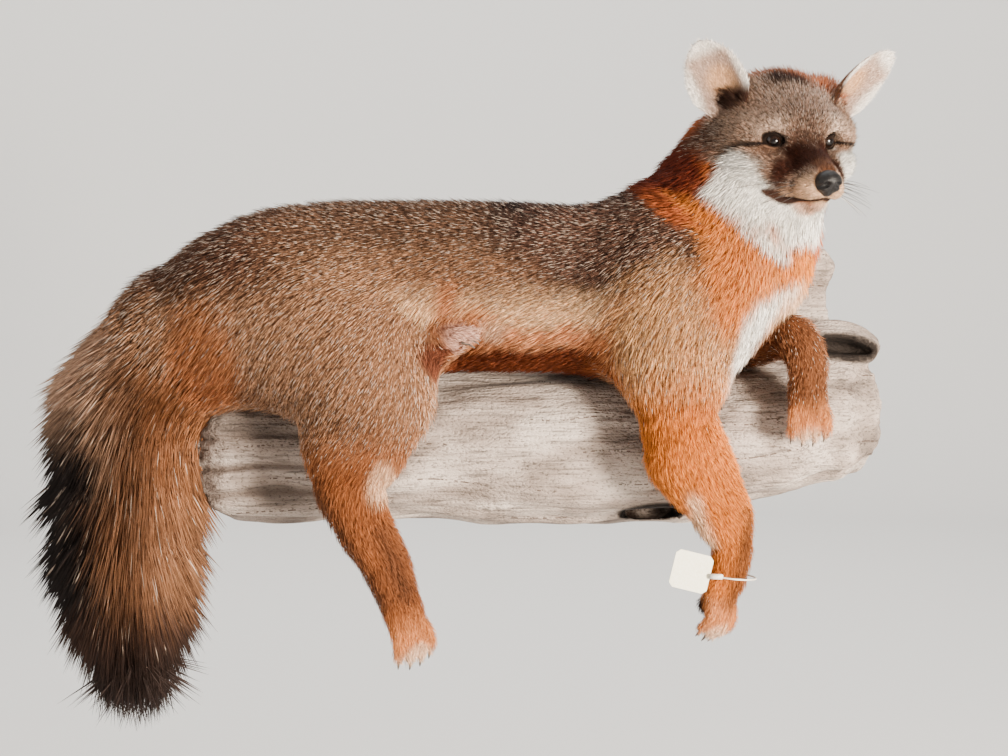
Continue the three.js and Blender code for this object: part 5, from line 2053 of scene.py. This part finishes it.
def tilted_ball(centre, radii, turn):
    """An ellipsoid turned about Y."""
    cosine, sine = math.cos(turn), math.sin(turn)
    back = np.array([[cosine, 0, sine], [0, 1, 0], [-sine, 0, cosine]])
    upright = ball((0, 0, 0), radii)
    return lambda p: upright((p - centre) @ back)


stub_board = board(STUB_OUTLINE, STUB_DEPTH, STUB_EDGE)
log_rim = ball((242, -48, 77), (40, 33, 19))
log_hollow = tilted_ball((246, -86, 78), (29, 30, 8.5), 0.14)
log_notch = tilted_ball((91, -80, -56), (28, 42, 8), -0.1)


def wood_field(p):
    wood = blend(blend(log_bar(p), stub_board(p), 12), log_rim(p), 9)
    wood = carve(wood, log_hollow(p), 3)
    wood = carve(wood, log_notch(p), 2)
    return np.maximum(wood, p[:, 1])


print("log: a bar, a stump of", len(STUB_OUTLINE), "corners, a hollow and a notch")

# %% Grain relief
WOOD_CELL = 2.4
WOOD_BOX = (-296, -118, -80), (294, 8, 178)
PLANK_LINES = [(6, 3.0), (-20, 4.5), (-41, 3.5)]  # heights and depths of the left end's grooves
GROOVE_WIDTH = 2.6
RELIEF_MIDDLE = 0.6  # so that the relief swings about the plain surface
AT_WALL = -1.6  # wood nearer the wall than this is made flat
KNOTS = [(-40, -51, 9), (60, 20, 7), (232, -4, 8)]  # x, z and size


def lumps(p, sizes, seed=0.0):
    """Smooth noise with features of that size along X, Y and Z, from about -1 to 1."""
    scaled = p / np.array(sizes, float) + seed
    return np.array([noise.noise(Vector(q)) for q in scaled]) * 1.6


def plank_grooves(p):
    """How deep the long grooves of the left end are at each point."""
    deep = np.zeros(len(p))
    for height, most in PLANK_LINES:
        line = height + 1.6 * np.sin(p[:, 0] / 19) + 2 * np.sin(p[:, 0] / 47)
        deep += most * np.exp(-(((p[:, 2] - line) / GROOVE_WIDTH) ** 2))
    return deep * soft(p[:, 0], -84, -128) * (p[:, 1] < -40)


def wood_relief(p):
    """How far the weathered surface stands out from the plain field, in millimetres."""
    q = p.copy()
    for knot_x, knot_z, size in KNOTS:
        away = np.hypot(q[:, 0] - knot_x, 1.4 * (q[:, 2] - knot_z))
        pull = np.exp(-((away / (2.2 * size)) ** 2)) * (q[:, 1] < -40)
        q[:, 2] += np.sign(knot_z - q[:, 2]) * pull * size * 0.8
    relief = 4.4 * lumps(q, (64, 27, 27)) + 2.0 * (0.5 - np.abs(lumps(q, (120, 12, 12), 7.3)))
    relief += 0.5 * lumps(q, (60, 4.2, 4.2), 3.1)
    relief -= plank_grooves(p)
    for knot_x, knot_z, size in KNOTS:
        away = np.hypot(p[:, 0] - knot_x, p[:, 2] - knot_z)
        ring = np.cos(away / size * 5) * np.exp(-((away / size) ** 2)) * (p[:, 1] < -40)
        relief += 1.2 * ring
    return relief


def make_wood_mesh():
    points, quads = grid_mesh(wood_field, *WOOD_BOX, WOOD_CELL)
    mesh = write_mesh("driftwood", points, quads)
    turn_out(mesh)
    points = settle(read_points(mesh), wood_field, 3)
    write_points(mesh, points)
    away_from_wall = soft(points[:, 1], -2, -12)[:, None]
    relief = wood_relief(points)[:, None] - RELIEF_MIDDLE
    points = points + read_all(mesh.vertices, "normal", 3) * relief * away_from_wall
    points[:, 1] = np.where(points[:, 1] > AT_WALL, 0, points[:, 1])
    write_points(mesh, points)
    # Where the finish paints shade into the long grooves of the left end.
    store(mesh, "groove", "FLOAT", np.minimum(plank_grooves(points) / 4, 1))
    # Where the finish paints shade into the hollow and the notch under the log.
    store(mesh, "hollow", "FLOAT", soft(log_hollow(points), 6, 2) + soft(log_notch(points), 4, 1))
    return mesh


print("grain relief with", len(PLANK_LINES), "long grooves at the left end")

# %% Wood finish
WORM_LINES = 0.027  # how far apart the lines of worm holes are
WEATHERED = [
    (0.3, (0.16, 0.125, 0.105)),
    (0.42, (0.31, 0.245, 0.205)),
    (0.54, (0.46, 0.375, 0.32)),
    (0.68, (0.62, 0.525, 0.455)),
]
CRACK_COLOUR = (0.07, 0.045, 0.035, 1)
# Painted shade for the long grooves.
GROOVE_SHADE = (0.1, 0.07, 0.055, 1)
# Painted shade for the hollow and the notch.
HOLLOW_SHADE = (0.012, 0.008, 0.006, 1)


def near_half(finish, value, width):
    """1 where a value is within that width of a half."""
    away = finish.math("ABSOLUTE", finish.math("SUBTRACT", value, 0.5))
    return finish.math("LESS_THAN", away, width)


def worm_holes(finish):
    """Short dark dashes in rows along the grain: 1 in a hole and 0 elsewhere."""
    place = finish.add("ShaderNodeTexCoord").outputs["Object"]
    height = finish.add("ShaderNodeSeparateXYZ", {"Vector": place}).outputs["Z"]
    height = finish.math("ADD", height, finish.times(finish.noise(1.0, 1, (9, 3, 3)), 0.03))
    row = finish.math("FRACT", finish.math("DIVIDE", height, WORM_LINES))
    dash = finish.math("GREATER_THAN", finish.noise(1.0, 1, (300, 60, 60)), 0.52)
    stretch = finish.math("GREATER_THAN", finish.noise(1.0, 1, (14, 24, 24)), 0.53)
    return finish.times(finish.times(near_half(finish, row, 0.02), dash), stretch)


def wood_finish():
    finish = Finish("weathered wood", 0.8, 0.2)
    broad = finish.noise(1.0, 4, (16, 34, 34))
    streak = finish.noise(1.0, 5, (26, 420, 420))
    pits = finish.noise(1.0, 2, (420, 700, 700))
    crack = finish.noise(1.0, 3, (11, 190, 190))
    colour = finish.ramp(broad, WEATHERED)
    streak_shade = finish.ramp(streak, [(0.3, 0.4), (0.47, 0.86), (0.75, 1.0)])
    pit_shade = finish.ramp(pits, [(0.34, 0.5), (0.44, 1.0)])
    for shade in (streak_shade, pit_shade):
        colour = finish.mix(1.0, colour, shade, "MULTIPLY")
    cracked = finish.ramp(finish.noise(13, 1), [(0.5, 0.0), (0.6, 1.0)])
    line = finish.times(near_half(finish, crack, 0.007), cracked)
    line = finish.math("MAXIMUM", line, worm_holes(finish))
    colour = finish.mix(finish.times(line, 0.85), colour, CRACK_COLOUR)
    # Painted shade: the long grooves are painted darker.
    colour = finish.mix(finish.times(finish.read("groove"), 0.7), colour, GROOVE_SHADE)
    # Painted shade: the hollow and the notch are painted almost black.
    finish.colour(finish.mix(finish.read("hollow"), colour, HOLLOW_SHADE))
    height = finish.math("ADD", streak, finish.times(pits, 0.8))
    finish.bump(finish.math("SUBTRACT", height, line), 0.85, 0.0022)
    return finish.material


wood_mesh = make_wood_mesh()
wood = add_piece("driftwood", wood_mesh, "wood", wood_finish())
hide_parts(*WOOD_NODES)
print("driftwood:", len(wood_mesh.polygons), "quads")

# %% [markdown]
# ## The lot tag
#
# A blank square of card with cut corners hangs from a thin plastic loop round the foreleg. The card
# is the frame's own solid with a paper finish. The loop is a round rod with a flat tab at the card.

# %% Tag and loop
LOOP_CENTRE = np.array([143.0, -129.0, -97.0])
LOOP_RADIUS, LOOP_THICKNESS = 20.0, 1.3
LOOP_STEPS, LOOP_SIDES = 64, 12
LOOP_TILT = 0.1


def loop_path():
    for step in range(LOOP_STEPS):
        turn = 2 * math.pi * step / LOOP_STEPS
        across, out = math.cos(turn), math.sin(turn)
        flat = np.array([across * math.cos(LOOP_TILT), out, -across * math.sin(LOOP_TILT)])
        yield (*(LOOP_CENTRE + flat * LOOP_RADIUS), LOOP_THICKNESS / 2)


milky_stops = [(0.3, (0.62, 0.56, 0.46)), (0.7, (0.8, 0.76, 0.68))]
milky = speckled("milky plastic", 0.35, 0.5, 220, 2, milky_stops)
make_rods("tag_loop_rod", [loop_path()], LOOP_SIDES, milky, "clear_plastic", closed=True)
print("loop:", 2 * LOOP_RADIUS, "mm across")

# %% Tab and card
TAB_SIZE, TAB_EDGE = (11, 1.9, 3.9), 0.55
TAB_TURN = -0.2
TAB_FROM_LOOP = np.array([-13, -17.2, 1.5])


def tab_mesh():
    """The flat tab where the loop's two ends are pressed together, a box with rounded edges."""
    mesh = bpy.data.meshes.new("tag_loop_tab")
    cosine, sine = math.cos(TAB_TURN), math.sin(TAB_TURN)
    centre = (LOOP_CENTRE + TAB_FROM_LOOP) * MM
    with opened(mesh) as work:
        bmesh.ops.create_cube(work, size=1.0)
        for vertex in work.verts:
            vertex.co *= Vector(TAB_SIZE) * MM
        edges = list(work.edges)
        bmesh.ops.bevel(work, geom=edges, offset=TAB_EDGE * MM, segments=2, affect="EDGES")
        for vertex in work.verts:
            tab_x, tab_y, tab_z = vertex.co
            turned = (tab_x * cosine - tab_y * sine, tab_x * sine + tab_y * cosine, tab_z)
            vertex.co = centre + turned
        bmesh.ops.recalc_face_normals(work, faces=work.faces)
    mesh.shade_smooth()
    return mesh


tab_piece = add_piece("tag_loop_tab", tab_mesh(), "clear_plastic", milky)
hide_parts("tag_loop")
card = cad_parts["tag"]
card_stops = [(0.3, (0.83, 0.8, 0.6)), (0.7, (0.93, 0.91, 0.76))]
card.data.materials.clear()
card.data.materials.append(speckled("card", 0.7, 0.2, 700, 4, card_stops, (0.15, 0.0002)))
print("tag, loop and tab")

# %% [markdown]
# ## Last checks
#
# How far the finished look reaches past the frame's box is measured last. The finished look must
# stay close to the frame's box, because MuJoCo and the mounts know only the frame.

# %% How far the look reaches past the frame
visual_low, visual_high = [list(corner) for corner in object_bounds()]
below = [round((cad - visual) / MM, 1) for cad, visual in zip(cad_low, visual_low)]
above = [round((visual - cad) / MM, 1) for cad, visual in zip(cad_high, visual_high)]
print("past the frame, mm:", below, "below and", above, "above")
